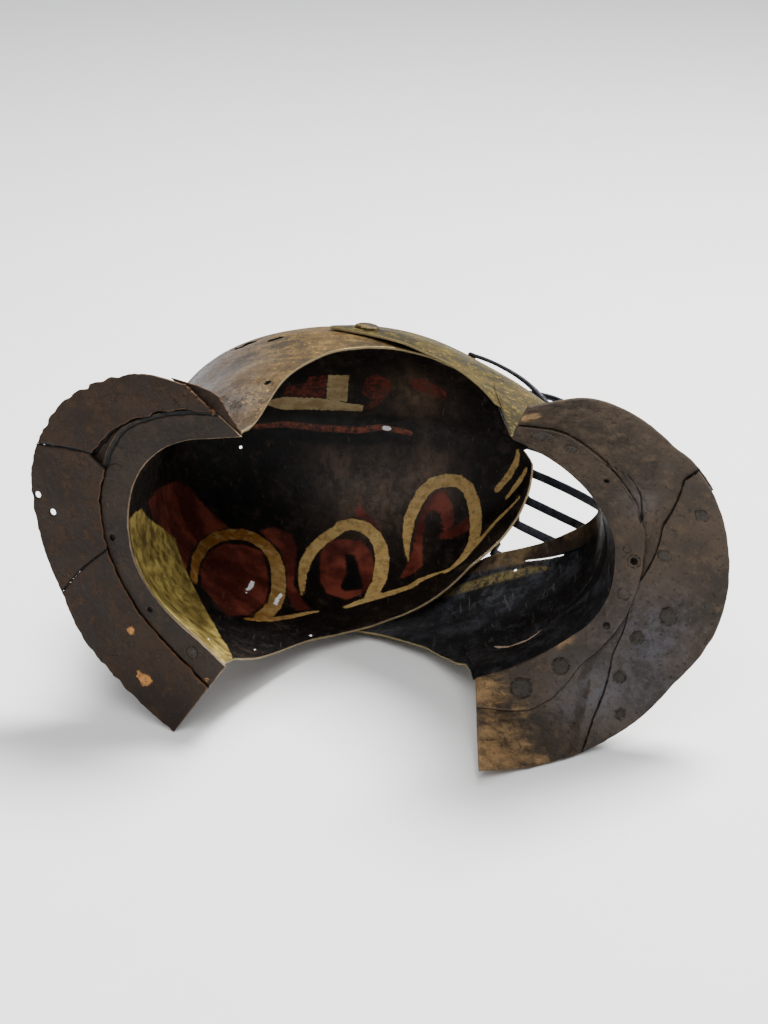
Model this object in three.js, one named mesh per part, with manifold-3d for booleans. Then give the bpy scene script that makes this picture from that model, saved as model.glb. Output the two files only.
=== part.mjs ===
// Tournament helmet of riveted iron plate, lying on its left side.
// Helmet frame while modelling: x to the face, y to the wearer's left, z to the crown, in mm.
// The whole group is then turned into the lying position and stands on z = 0.

import * as THREE from "three";
import { mergeVertices } from "three/addons/utils/BufferGeometryUtils.js";
import Module from "manifold-3d";

const wasm = await Module();
wasm.setup();

// Sheet thicknesses and clearances
const SKULL_SHEET = 2.2;
const PLATE_SHEET = 2.0;
const COLLAR_SHEET = 1.8;
const NAPE_SHEET = 2.0;
const SEAT_GAP = 0.3;
const LAYER_GAP = 0.8;

// Height of each layer of the collars above the visible face, and where the neck walls stand
const BACK_BAND_LIFT = NAPE_SHEET + SEAT_GAP;
const BACK_WALL_LIFT = 2 * (NAPE_SHEET + SEAT_GAP);
const FRONT_WALL_LIFT = COLLAR_SHEET + SEAT_GAP;
const LIFT_SIDE = COLLAR_SHEET + LAYER_GAP;
const UNDER_EXTRA = 0.6;
const LIFT_UNDER = 2 * (COLLAR_SHEET + LAYER_GAP) + UNDER_EXTRA;
const WALL_T = 0.035;
const WALL_CLEAR = 0.3;
// Play between the skull and the front plate that laps over it
const PLATE_PLAY = 1.2;

// Plan outline of the skull and front plate: a rounded oval whose half lengths change with height
const OVAL_EXPONENT = 2.1;
const DOME_BASE = 170;
const DOME_TOP = 293;
const DOME_CHECK = 240;
const OUTLINE = [
  { z: 0, back: 158, side: 105, plate: 191, brow: 122 },
  { z: 50, back: 160, side: 118.5, plate: 187, brow: 122 },
  { z: 110, back: 148, side: 119, plate: 196, brow: 122 },
  { z: 170, back: 144, side: 115.5, plate: 158, brow: 146.6 },
  { z: 240, back: 123, side: 89, plate: 120, brow: 164 },
];
const KEEL_HEIGHT = 2.5;
const KEEL_WIDTH = 14;

// Lower edge of the skull from the brow (0 degrees) to the rear end of the shoulder arch
const SKULL_RIM = [
  { phi: 0, z: 247 }, { phi: 25, z: 209 }, { phi: 50, z: 150 }, { phi: 75, z: 127 },
  { phi: 95, z: 100 }, { phi: 108, z: 52 }, { phi: 121.5, z: -14 },
];

// Upper and lower edges of the front plate with its two pivot lappets
const PLATE_TOP = [
  { phi: 0, z: 109 }, { phi: 20, z: 149 }, { phi: 40, z: 186 }, { phi: 60, z: 192 },
  { phi: 80, z: 186 }, { phi: 90, z: 174 }, { phi: 96.5, z: 161 },
];
const PLATE_ARCH = [
  { phi: 60.5, z: 28 }, { phi: 64, z: 57 }, { phi: 70, z: 89 }, { phi: 80, z: 124 },
  { phi: 90, z: 143 }, { phi: 96.5, z: 155 },
];
const PLATE_NECK_PHI = 59.6;
const LAPPET_EXTRA = [75, 85, 93.5];

// Front collar: inner and outer edge from the right shoulder round the chest to the left.
// phi is where the neck wall stands on that point of the inner edge.
const FRONT_COLLAR = [
  { phi: -59.6, xi: 105, yi: -96, zi: -19, xo: 105, yo: -138, zo: -85 },
  { phi: -51.4, xi: 126, yi: -86, zi: -16, xo: 145, yo: -143, zo: -73 },
  { phi: -42.6, xi: 146, yi: -74, zi: -13, xo: 183, yo: -129, zo: -61 },
  { phi: -32.7, xi: 164, yi: -59, zi: -10, xo: 216, yo: -105, zo: -52 },
  { phi: -21.8, xi: 179, yi: -41, zi: -8, xo: 245, yo: -76, zo: -45 },
  { phi: -10.1, xi: 190, yi: -20, zi: -6, xo: 263, yo: -39, zo: -41 },
  { phi: 1.3, xi: 193, yi: 3, zi: -6, xo: 270, yo: 1, zo: -40 },
  { phi: 13.1, xi: 191, yi: 25, zi: -6, xo: 263, yo: 41, zo: -41 },
  { phi: 24.1, xi: 180, yi: 45, zi: -8, xo: 240, yo: 73, zo: -46 },
  { phi: 33.8, xi: 162, yi: 60, zi: -10, xo: 213, yo: 103, zo: -52 },
  { phi: 43, xi: 142, yi: 72, zi: -14, xo: 178, yo: 121, zo: -63 },
  { phi: 51.4, xi: 120, yi: 82, zi: -17, xo: 139, yo: 129, zo: -78 },
  { phi: 59.6, xi: 98, yi: 89, zi: -20, xo: 98, yo: 124, zo: -97 },
];
// Back collar, in one flat plane, from the right shoulder round the nape to the left
const BACK_PLANE = { x: -86, z: -25, slope: -0.5 };
const BACK_COLLAR = [
  { phi: 236.4, xi: -86, yi: -86, xo: -127, yo: -116 },
  { phi: 228.8, xi: -106, yi: -80, xo: -156, yo: -117 },
  { phi: 221.6, xi: -125, yi: -74, xo: -185, yo: -107 },
  { phi: 212.9, xi: -142, yi: -63, xo: -210, yo: -88 },
  { phi: 202.7, xi: -155, yi: -46, xo: -227, yo: -61 },
  { phi: 192, xi: -162, yi: -26, xo: -235, yo: -29 },
  { phi: 181.5, xi: -163, yi: -4, xo: -232, yo: 4 },
  { phi: 171.4, xi: -159, yi: 18, xo: -222, yo: 36 },
  { phi: 160.6, xi: -150, yi: 37, xo: -208, yo: 66 },
  { phi: 149.8, xi: -136, yi: 54, xo: -193, yo: 94 },
  { phi: 140.3, xi: -120, yi: 67, xo: -171, yo: 117 },
  { phi: 131, xi: -103, yi: 78, xo: -146, yo: 136 },
  { phi: 121.5, xi: -86, yi: 90, xo: -120, yo: 152 },
];
const NECK_FADE_Z = 90;
const ARCH_END_PHI = 121.4;
const NAPE_LEFT_PHI = BACK_COLLAR.at(-1).phi;
const NAPE_RIGHT_PHI = BACK_COLLAR[0].phi;

// Seams of the collars as (s along, t across): s 0 to 1 right to left, t 0 inner edge to 1 outer edge
const FRONT_BAND_EDGE = [
  { s: 0, t: 0.42 }, { s: 0.1, t: 0.4 }, { s: 0.237, t: 0.35 }, { s: 0.373, t: 0.31 },
  { s: 0.469, t: 0.25 }, { s: 0.567, t: 0.22 }, { s: 0.688, t: 0.25 }, { s: 0.762, t: 0.28 },
  { s: 0.81, t: 0.37 }, { s: 0.848, t: 0.43 }, { s: 0.894, t: 0.46 }, { s: 0.938, t: 0.41 },
  { s: 1, t: 0.32 },
];
const BACK_BAND_EDGE = [
  { s: 0, t: 0.42 }, { s: 0.167, t: 0.37 }, { s: 0.256, t: 0.38 }, { s: 0.36, t: 0.31 },
  { s: 0.5, t: 0.29 }, { s: 0.713, t: 0.26 }, { s: 0.833, t: 0.28 }, { s: 1, t: 0.33 },
];
const PLATE_IN_T = 0.07;
const SEAM_UPPER_SIDE = [
  { t: 0.07, s: 0.545 }, { t: 0.2, s: 0.53 }, { t: 0.25, s: 0.515 }, { t: 0.46, s: 0.394 },
  { t: 0.83, s: 0.312 }, { t: 1, s: 0.302 },
];
const SEAM_SIDE_LOWER = [
  { t: 0.07, s: 0.575 }, { t: 0.22, s: 0.592 }, { t: 0.38, s: 0.694 }, { t: 0.76, s: 0.795 },
  { t: 1, s: 0.837 },
];
const SEAM_UNDERLAP = [
  { t: 0.07, s: -0.008 }, { t: 0.25, s: 0.015 }, { t: 0.46, s: 0.035 }, { t: 1, s: 0.04 },
];
const SEAM_NAPE_UPPER = [
  { t: 0.28, s: 0.372 }, { t: 0.5, s: 0.346 }, { t: 0.74, s: 0.356 }, { t: 1, s: 0.369 },
];
const SEAM_NAPE_LOWER = [
  { t: 0.24, s: 0.574 }, { t: 0.35, s: 0.588 }, { t: 1, s: 0.662 },
];
// Share of the upper and lower chest plates at which they dip under the side plate
const UPPER_DIP = { from: 0.72, to: 0.82 };
const LOWER_DIP = { from: 0.36, to: 0.26 };
const CRACK_HALF_S = 0.0015;
// Inner edge of the outer nape plates: it leaves the band open on the upper one
const NAPE_UPPER_IN = [
  { s: 0, t: 0.45 }, { s: 0.06, t: 0.46 }, { s: 0.177, t: 0.42 }, { s: 0.25, t: 0.45 },
  { s: 0.34, t: 0.47 }, { s: 0.37, t: 0.5 },
];
const NAPE_BAND_UNDERLAP = 0.04;
const NAPE_LOWER_LAP = -0.01;
// Backing sheet behind the nape band and plates, seen through the open seam
const BACKING = { from: 0.004, to: 0.996, tIn: 0.13, tOut: 0.72 };

// Rivets and holes of the collars
const RIVETS = [
  { name: "chest_band_rivet_1", collar: "front", s: 0.062, t: 0.28, radius: 7.5, on: "band", sheets: 2 },
  { name: "chest_band_rivet_2", collar: "front", s: 0.135, t: 0.26, radius: 4.5, on: "band", sheets: 2 },
  { name: "chest_band_rivet_3", collar: "front", s: 0.794, t: 0.19, radius: 5.5, on: "band", sheets: 2 },
  { name: "chest_band_rivet_4", collar: "front", s: 0.894, t: 0.23, radius: 7.5, on: "band", sheets: 2 },
  { name: "chest_seam_rivet_1", collar: "front", s: 0.377, t: 0.83, radius: 4.5, on: "side", sheets: 2 },
  { name: "chest_seam_rivet_2", collar: "front", s: 0.454, t: 0.43, radius: 4.5, on: "side", sheets: 2 },
  { name: "chest_seam_rivet_3", collar: "front", s: 0.717, t: 0.58, radius: 4, on: "side", sheets: 2 },
  { name: "chest_seam_rivet_4", collar: "front", s: 0.757, t: 0.86, radius: 3.5, on: "side", sheets: 2 },
  { name: "chest_side_rivet_1", collar: "front", s: 0.573, t: 0.56, radius: 6, on: "side", sheets: 1 },
  { name: "chest_side_rivet_2", collar: "front", s: 0.637, t: 0.43, radius: 4.5, on: "side", sheets: 1 },
  { name: "nape_band_rivet", collar: "back", s: 0.91, t: 0.15, radius: 4, on: "nape", sheets: 2 },
];
const FACE_LIFT = { band: 0, side: LIFT_SIDE, nape: BACK_BAND_LIFT };
const FRONT_HOLES = [
  { s: 0.252, t: 0.23, radius: 2.2 }, { s: 0.471, t: 0.17, radius: 3.2 }, { s: 0.65, t: 0.14, radius: 2.4 },
];
const CHEST_SLIT = { s: 0.404, t: 0.56, radius: 1.2 };
const NAPE_BAND_HOLES = [{ s: 0.55, t: 0.19, radius: 2.2 }, { s: 0.754, t: 0.14, radius: 2 }];
const NAPE_STRAP_HOLES = [{ s: 0.469, t: 0.93, radius: 2.6 }, { s: 0.5, t: 0.79, radius: 2.6 }];
const SHANK_RADIUS = 2;
const SHANK_CLEARANCE = 0.3;
const TAIL_THICK = 1.2;
const TAIL_SPREAD = 1.6;
const TAIL_PLAY = 0.5;
const HEAD_LIFT = 0.12;
const HEAD_DOME = 0.3;
// Dome of every head, as shares of its radius and height
const HEAD_SHAPE = [{ out: 0.9, up: 0.4 }, { out: 0.55, up: 0.82 }];

// Left cheek of the front plate, pushed out where the helmet lies on it
const CHEEK = { phi: 72, z: 168, push: 12, spanPhi: 13, spanZ: 32 };

// Pivot rivets of the front plate, one on each temple
const PIVOT = { phi: 87, z: 158, head: 11, dome: 5, shank: 4, seat: 0.7, play: { right: 4, left: 9 } };
// Corroded holes through the skull: three on the right, one behind the crown
const SKULL_HOLES = [
  { phi: -124.1, z: 173.3, radius: 4 }, { phi: -114.1, z: 153.1, radius: 3 },
  { phi: -114.4, z: 43.3, radius: 2.2 }, { phi: 160.7, z: 272, radius: 2 },
];

// Face bars from the brow to the front plate
const BAR_WIDTH = 7;
const BAR_THICK = 3.2;
const BAR_FOOT = 12;
const BARS = [
  { name: "face_bar_1", brow: -88, chin: -60, bow: 18 },
  { name: "face_bar_2", brow: -62, chin: -38, bow: 22 },
  { name: "face_bar_3", brow: -42, chin: -25, bow: 28 },
  { name: "face_bar_4", brow: -22, chin: -13, bow: 33 },
  { name: "face_bar_5", brow: -3, chin: -2, bow: 36 },
  { name: "face_bar_6", brow: 16, chin: 8, bow: 37 },
  { name: "face_bar_7", brow: 34, chin: 18, bow: 35 },
  { name: "face_bar_8", brow: 49, chin: 29, bow: 30 },
  { name: "face_bar_9", brow: 67, chin: 40, bow: 24 },
  { name: "face_bar_10", brow: 88, chin: 60, bow: 16 },
];
const BAR_ABOVE_RIM = 14;
const BAR_BELOW_TOP = 34;
const BAR_OVER_PLATE_PHI = 40;
const BAR_SEAT = { skull: 1.5, plate: 0.9 };
const BAR_SPANS = 8;
const BAR_ROUND = 0.8;

// Mesh density
const SKULL_STEP = 7.5;
// Column of the skull moved to the rear end of the shoulder arch
const ARCH_COLUMN_PHI = 120;
const SKULL_ROWS = 13;
const PLATE_STEP = 6;
const PLATE_ROWS = 7;
// Least angle between the last even column of the front plate and its neck end
const COLUMN_SPARE = 2;
const MESH = {
  band: { columns: 24, rows: 2 },
  backing: { columns: 24, rows: 1 },
  sidePlate: { columns: 22, rows: 5 },
  chestPlate: { columns: 12, rows: 4 },
  napePlate: { columns: 10, rows: 2 },
  napeMiddle: { columns: 6, rows: 2 },
};
const ROUND_SIDES = 12;
const SMALL_SIDES = 8;
const DRILL_LENGTH = 30;
const WELD_DISTANCE = 1e-4;
const BELOW_TOP = 1e-6;

// Steps of the measuring functions
const SLOPE_STEP = 0.01;
const SEAM_PASSES = 6;
const FOOT_PASSES = 20;
const BISECTIONS = 30;

// Lying position: turned so that the crown points away and the face to the right
const LIE_YAW = 3.51;
const LIE_PITCH = -3.39;
const LIE_ROLL = 5.18;

const rad = THREE.MathUtils.degToRad;
const vec = (x, y, z) => new THREE.Vector3(x, y, z);

// Smooth reading of one column of a table
function read(table, key, at, col) {
  const last = table.length - 1;
  const rising = table[last][key] > table[0][key];
  const x = (i) => (rising ? table[i][key] : -table[i][key]);
  const v = THREE.MathUtils.clamp(rising ? at : -at, x(0), x(last));
  let i = 0;
  while (i < last - 1 && v > x(i + 1)) i += 1;
  const slope = (j) => {
    const a = Math.max(j - 1, 0);
    const b = Math.min(j + 1, last);
    return (table[b][col] - table[a][col]) / (x(b) - x(a));
  };
  const h = x(i + 1) - x(i);
  const u = (v - x(i)) / h;
  const [p, q] = [table[i][col], table[i + 1][col]];
  return p * (1 + 2 * u) * (1 - u) ** 2 + q * u * u * (3 - 2 * u)
    + h * u * (1 - u) * (slope(i) * (1 - u) - slope(i + 1) * u);
}

// Straight reading, for edges with corners
function readStraight(table, key, at, col) {
  const last = table.length - 1;
  const v = THREE.MathUtils.clamp(at, table[0][key], table[last][key]);
  let i = 0;
  while (i < last - 1 && v > table[i + 1][key]) i += 1;
  const u = (v - table[i][key]) / (table[i + 1][key] - table[i][key]);
  return THREE.MathUtils.lerp(table[i][col], table[i + 1][col], u);
}

// Half length of the plan outline at a height; above the dome base it closes as an ellipse
function halfLength(col, z) {
  if (z <= DOME_BASE) return read(OUTLINE, "z", z, col);
  const base = OUTLINE.find((row) => row.z === DOME_BASE)[col];
  const high = OUTLINE.find((row) => row.z === DOME_CHECK)[col];
  const fall = (h) => Math.sqrt(Math.max(1 - ((h - DOME_BASE) / (DOME_TOP - DOME_BASE)) ** 2, 0));
  const lean = high / (base * fall(DOME_CHECK)) - 1;
  const along = Math.min((z - DOME_BASE) / (DOME_CHECK - DOME_BASE), 1);
  return base * fall(z) * (1 + lean * along);
}

// Point of the plan outline at angle phi from the face, with the front half length of one column
function outlinePoint(phi, z, frontCol) {
  const c = Math.cos(rad(phi));
  const s = Math.sin(rad(phi));
  const length = c < 0 ? halfLength("back", z) : Math.max(halfLength(frontCol, z), halfLength("brow", z));
  const power = 2 / OVAL_EXPONENT;
  return vec(
    length * Math.sign(c) * Math.abs(c) ** power,
    halfLength("side", z) * Math.sign(s) * Math.abs(s) ** power,
    z,
  );
}

// Collar surfaces: straight rulings from the inner to the outer edge
function collarPoint(collar, s, t) {
  const table = collar === "front" ? FRONT_COLLAR : BACK_COLLAR;
  const at = s * (table.length - 1);
  const rows = table.map((row, i) => ({ ...row, i }));
  const get = (col) => read(rows, "i", at, col);
  const x = THREE.MathUtils.lerp(get("xi"), get("xo"), t);
  const y = THREE.MathUtils.lerp(get("yi"), get("yo"), t);
  const z = collar === "front"
    ? THREE.MathUtils.lerp(get("zi"), get("zo"), t)
    : BACK_PLANE.z + BACK_PLANE.slope * (x - BACK_PLANE.x);
  return vec(x, y, z);
}

// Unit normal of a collar, towards the crown
function collarNormal(collar, s, t) {
  const after = collarPoint(collar, Math.min(s + SLOPE_STEP, 1), t);
  const along = after.sub(collarPoint(collar, Math.max(s - SLOPE_STEP, 0), t));
  const across = collarPoint(collar, s, t + SLOPE_STEP).sub(collarPoint(collar, s, t - SLOPE_STEP));
  const n = along.cross(across).normalize();
  return n.z < 0 ? n.negate() : n;
}

const lifted = (collar, s, t, lift) =>
  collarPoint(collar, s, t).addScaledVector(collarNormal(collar, s, t), lift);

// Foot of a neck wall: just outside the inner edge of its band, as high as the band's own edge
function wallFoot(collar, s, lift) {
  const edge = lifted(collar, s, 0, lift);
  const foot = lifted(collar, s, WALL_T, lift);
  return foot.setZ(Math.max(edge.z, foot.z) + WALL_CLEAR);
}

// Neck line where a wall stands on its collar band, as the s of that collar for an angle phi
function neckS(collar, phi) {
  const table = collar === "front" ? FRONT_COLLAR : BACK_COLLAR;
  const rows = table.map((row, i) => ({ phi: row.phi, s: i / (table.length - 1) }));
  return read(rows, "phi", phi, "s");
}

// Surface of the skull: the plan outline, drawn in near the neck so that it meets the collar
function skullPoint(phi, z) {
  const turn = phi < 0 ? phi + 360 : phi;
  const nape = THREE.MathUtils.clamp(turn, NAPE_LEFT_PHI, NAPE_RIGHT_PHI);
  const foot = wallFoot("back", neckS("back", nape), BACK_WALL_LIFT);
  const p = outlinePoint(phi, z, "brow");
  if (z < NECK_FADE_Z) {
    const fade = THREE.MathUtils.smoothstep(NECK_FADE_Z - z, 0, NECK_FADE_Z - foot.z);
    p.add(foot.clone().sub(outlinePoint(nape, foot.z, "brow")).setZ(0).multiplyScalar(fade));
  }
  const keel = KEEL_HEIGHT * Math.exp(-((p.y / KEEL_WIDTH) ** 2));
  const high = THREE.MathUtils.smoothstep(z, DOME_BASE, DOME_CHECK);
  const centre = vec(0, 0, DOME_BASE);
  return p.addScaledVector(p.clone().sub(centre).normalize(), keel * high);
}

// Surface of the front plate, standing outside the skull where they lap
function platePoint(phi, z) {
  const clear = PLATE_SHEET + SEAT_GAP + PLATE_PLAY;
  const chest = THREE.MathUtils.clamp(phi, -PLATE_NECK_PHI, PLATE_NECK_PHI);
  const foot = wallFoot("front", neckS("front", chest), FRONT_WALL_LIFT);
  const grown = (a, h) => {
    const p = outlinePoint(a, h, "plate");
    const out = vec(p.x, p.y, 0).normalize();
    const aside = (a - CHEEK.phi) / CHEEK.spanPhi;
    const above = (h - CHEEK.z) / CHEEK.spanZ;
    const push = CHEEK.push * Math.exp(-(aside ** 2) - above ** 2);
    return p.addScaledVector(out, clear + push);
  };
  const p = grown(phi, z);
  if (z < NECK_FADE_Z) {
    const fade = THREE.MathUtils.smoothstep(NECK_FADE_Z - z, 0, NECK_FADE_Z - foot.z);
    p.add(foot.clone().sub(grown(chest, foot.z)).setZ(0).multiplyScalar(fade));
  }
  return p;
}

// Closed sheet between a grid of outer points and the same grid moved in by the sheet thickness
function sheet(grid, thickness, { wrap = false, pole = false } = {}) {
  const rows = grid.length;
  const cols = grid[0].length;
  const at = (i, j) => {
    const col = wrap ? (j + cols) % cols : THREE.MathUtils.clamp(j, 0, cols - 1);
    return grid[THREE.MathUtils.clamp(i, 0, rows - 1)][col];
  };
  const normal = (i, j) => {
    const across = at(i, j + 1).clone().sub(at(i, j - 1));
    const down = at(i + 1, j).clone().sub(at(i - 1, j));
    return across.cross(down).normalize();
  };
  const points = [];
  const index = [];
  const outer = [];
  const inner = [];
  for (let i = 0; i < rows; i += 1) {
    outer.push([]);
    inner.push([]);
    for (let j = 0; j < cols; j += 1) {
      const top = pole && i === 0;
      if (top && j > 0) {
        outer[i].push(outer[0][0]);
        inner[i].push(inner[0][0]);
        continue;
      }
      const n = top ? vec(0, 0, -1) : normal(i, j);
      outer[i].push(points.push(at(i, j)) - 1);
      inner[i].push(points.push(at(i, j).clone().addScaledVector(n, thickness)) - 1);
    }
  }
  const face = (a, b, c) => {
    if (a !== b && b !== c && c !== a) index.push(a, b, c);
  };
  const quad = (a, b, c, d) => {
    face(a, b, c);
    face(a, c, d);
  };
  const lastCol = wrap ? cols : cols - 1;
  for (let i = 0; i < rows - 1; i += 1) {
    for (let j = 0; j < lastCol; j += 1) {
      const k = (j + 1) % cols;
      quad(outer[i][j], outer[i + 1][j], outer[i + 1][k], outer[i][k]);
      quad(inner[i][j], inner[i][k], inner[i + 1][k], inner[i + 1][j]);
    }
  }
  for (let j = 0; j < lastCol; j += 1) {
    const k = (j + 1) % cols;
    const m = rows - 1;
    quad(outer[m][j], inner[m][j], inner[m][k], outer[m][k]);
    if (!pole) quad(outer[0][j], outer[0][k], inner[0][k], inner[0][j]);
  }
  if (!wrap) {
    for (let i = 0; i < rows - 1; i += 1) {
      const m = cols - 1;
      quad(outer[i][0], inner[i][0], inner[i + 1][0], outer[i + 1][0]);
      quad(outer[i][m], outer[i + 1][m], inner[i + 1][m], inner[i][m]);
    }
  }
  return closed(points, index);
}

// Indexed geometry from points and triangles, turned face out
function closed(points, index) {
  const geometry = new THREE.BufferGeometry();
  const places = points.flatMap((p) => p.toArray());
  geometry.setAttribute("position", new THREE.Float32BufferAttribute(places, 3));
  let volume = 0;
  for (let i = 0; i < index.length; i += 3) {
    const [a, b, c] = [points[index[i]], points[index[i + 1]], points[index[i + 2]]];
    volume += a.dot(b.clone().cross(c));
  }
  geometry.setIndex(volume < 0 ? index.toReversed() : index);
  return geometry;
}

// Boolean cut of one geometry by others
function solid(geometry) {
  const bare = geometry.clone();
  bare.deleteAttribute("normal");
  bare.deleteAttribute("uv");
  const merged = mergeVertices(bare, WELD_DISTANCE);
  return new wasm.Manifold(new wasm.Mesh({
    numProp: 3,
    vertProperties: new Float32Array(merged.attributes.position.array),
    triVerts: new Uint32Array(merged.index.array),
  }));
}

function cut(geometry, tools) {
  let body = solid(geometry);
  for (const tool of tools) body = body.subtract(solid(tool));
  const result = body.getMesh();
  const out = new THREE.BufferGeometry();
  out.setAttribute("position", new THREE.Float32BufferAttribute(result.vertProperties, 3));
  out.setIndex([...result.triVerts]);
  return out;
}

// Place a lathe or cylinder, whose axis is y, at a point along a direction
function aimed(geometry, point, direction) {
  const turn = new THREE.Quaternion().setFromUnitVectors(vec(0, 1, 0), direction.clone().normalize());
  return geometry.applyQuaternion(turn).translate(point.x, point.y, point.z);
}

const drill = (point, direction, radius) =>
  aimed(new THREE.CylinderGeometry(radius, radius, DRILL_LENGTH, ROUND_SIDES), point, direction);

// Rivet turned from one profile: domed head outside, shank through the sheets, flat tail inside
function rivet(head, dome, shank, grip, sides) {
  const tail = shank * TAIL_SPREAD;
  const foot = -grip - TAIL_THICK;
  const profile = [
    [0, foot], [tail, foot], [tail, -grip], [shank, -grip], [shank, 0], [head, 0],
    ...HEAD_SHAPE.map((row) => [head * row.out, dome * row.up]), [0, dome],
  ];
  return new THREE.LatheGeometry(profile.map(([x, y]) => new THREE.Vector2(x, y)), sides);
}

// Patch of a collar between two seams and two edges, at a lift from the visible face
function patch(collar, { left, right, tIn, tOut, lift, columns, rows }) {
  const thick = collar === "front" ? COLLAR_SHEET : NAPE_SHEET;
  const rise = collar === "front" ? thick : 0;
  const grid = [];
  for (let i = 0; i <= rows; i += 1) {
    grid.push([]);
    for (let j = 0; j <= columns; j += 1) {
      const u = j / columns;
      const v = i / rows;
      let s = u;
      let t = v;
      for (let k = 0; k < SEAM_PASSES; k += 1) {
        s = THREE.MathUtils.lerp(left(t), right(t), u);
        t = THREE.MathUtils.lerp(tIn(s), tOut(s), v);
      }
      grid[i].push(lifted(collar, s, t, lift(u) + rise));
    }
  }
  return sheet(grid, thick);
}

const across = (table, shift = 0) => (t) => readStraight(table, "t", t, "s") + shift;
const along = (table, shift = 0) => (s) => readStraight(table, "s", s, "t") + shift;
const fixed = (value) => () => value;

const iron = {
  skull: { color: 0x6b5a3f, roughness: 0.6, metalness: 0.6 },
  plate: { color: 0x6e5f3c, roughness: 0.55, metalness: 0.6 },
  bars: { color: 0x23272c, roughness: 0.5, metalness: 0.8 },
  nape: { color: 0x3b2b22, roughness: 0.75, metalness: 0.4 },
  chest: { color: 0x453c34, roughness: 0.6, metalness: 0.6 },
  rivets: { color: 0x4a4038, roughness: 0.55, metalness: 0.7 },
};

const helmet = new THREE.Group();

function add(name, geometry, look) {
  const mesh = new THREE.Mesh(geometry, new THREE.MeshStandardMaterial(iron[look]));
  mesh.name = name;
  helmet.add(mesh);
}

// Skull
const rimZ = (phi) => read(SKULL_RIM, "phi", Math.min(Math.abs(phi), NAPE_LEFT_PHI), "z");
const napeFootZ = (phi) => {
  const turn = phi < 0 ? phi + 360 : phi;
  return wallFoot("back", neckS("back", turn), BACK_WALL_LIFT).z;
};
function skullFoot(phi) {
  const turn = phi < 0 ? phi + 360 : phi;
  return turn > NAPE_LEFT_PHI && turn < NAPE_RIGHT_PHI ? napeFootZ(phi) : rimZ(phi);
}
const skullAngles = [];
for (let a = -180; a < 180; a += SKULL_STEP) {
  skullAngles.push(Math.abs(a) === ARCH_COLUMN_PHI ? Math.sign(a) * ARCH_END_PHI : a);
}
const skullGrid = [];
for (let i = 0; i <= SKULL_ROWS; i += 1) {
  skullGrid.push(skullAngles.map((phi) => {
    const foot = skullFoot(phi);
    const high = DOME_TOP - DOME_BASE;
    const turnEnd = Math.acos(THREE.MathUtils.clamp((foot - DOME_BASE) / high, 0, 1));
    const wall = Math.max(DOME_BASE - foot, 0);
    const total = turnEnd * high + wall;
    const run = (i / SKULL_ROWS) * total;
    const z = run <= turnEnd * high
      ? DOME_BASE + high * Math.cos(run / high)
      : DOME_BASE - (run - turnEnd * high);
    return skullPoint(phi, Math.min(z, DOME_TOP - BELOW_TOP));
  }));
}
skullGrid[0] = skullAngles.map(() => vec(0, 0, DOME_TOP + KEEL_HEIGHT));

const outward = (f, phi, z) => {
  const a = f(phi + 1, z).sub(f(phi - 1, z));
  const b = f(phi, z + 1).sub(f(phi, z - 1));
  const n = a.cross(b).normalize();
  const p = f(phi, z);
  return n.dot(vec(p.x, p.y, 0)) < 0 ? n.negate() : n;
};
const pivotSides = [{ side: "right", sign: -1 }, { side: "left", sign: 1 }];
const pivotPoint = (sign) => platePoint(sign * PIVOT.phi, PIVOT.z);
const pivotOut = (sign) => outward(platePoint, sign * PIVOT.phi, PIVOT.z);
const pivotDrills = pivotSides.map(({ sign }) =>
  drill(pivotPoint(sign), pivotOut(sign), PIVOT.shank + SHANK_CLEARANCE));
const skullDrills = SKULL_HOLES.map(({ phi, z, radius }) =>
  drill(skullPoint(phi, z), outward(skullPoint, phi, z), radius));
const skullShell = sheet(skullGrid, SKULL_SHEET, { wrap: true, pole: true });
add("skull", cut(skullShell, [...pivotDrills, ...skullDrills]), "skull");

// Front plate with its lappets
const plateAngles = [0];
for (let a = PLATE_STEP; a < PLATE_NECK_PHI - COLUMN_SPARE; a += PLATE_STEP) plateAngles.push(a);
plateAngles.push(PLATE_NECK_PHI, ...PLATE_ARCH.map((row) => row.phi), ...LAPPET_EXTRA);
plateAngles.sort((a, b) => a - b);
const plateColumns = [...plateAngles.toReversed().map((a) => -a), ...plateAngles.slice(1)];
const plateFoot = (phi) => {
  const a = Math.abs(phi);
  if (a > PLATE_NECK_PHI) return readStraight(PLATE_ARCH, "phi", a, "z");
  return wallFoot("front", neckS("front", phi), FRONT_WALL_LIFT).z;
};
const plateGrid = [];
for (let i = 0; i <= PLATE_ROWS; i += 1) {
  plateGrid.push(plateColumns.map((phi) => {
    const top = read(PLATE_TOP, "phi", Math.abs(phi), "z");
    return platePoint(phi, THREE.MathUtils.lerp(top, plateFoot(phi), i / PLATE_ROWS));
  }));
}
add("front_plate", cut(sheet(plateGrid, PLATE_SHEET), pivotDrills), "plate");

// Rivet shanks pass through every sheet of their collar
const rivetPoint = ({ collar, s, t, on }) => lifted(collar, s, t, FACE_LIFT[on]);
const holeDrills = (collar, rows) => rows.map(({ s, t, radius }) =>
  drill(collarPoint(collar, s, t), collarNormal(collar, s, t), radius));
const rivetDrills = (collar) => holeDrills(collar, RIVETS
  .filter((row) => row.collar === collar)
  .map(({ s, t }) => ({ s, t, radius: SHANK_RADIUS + SHANK_CLEARANCE })));

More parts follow.
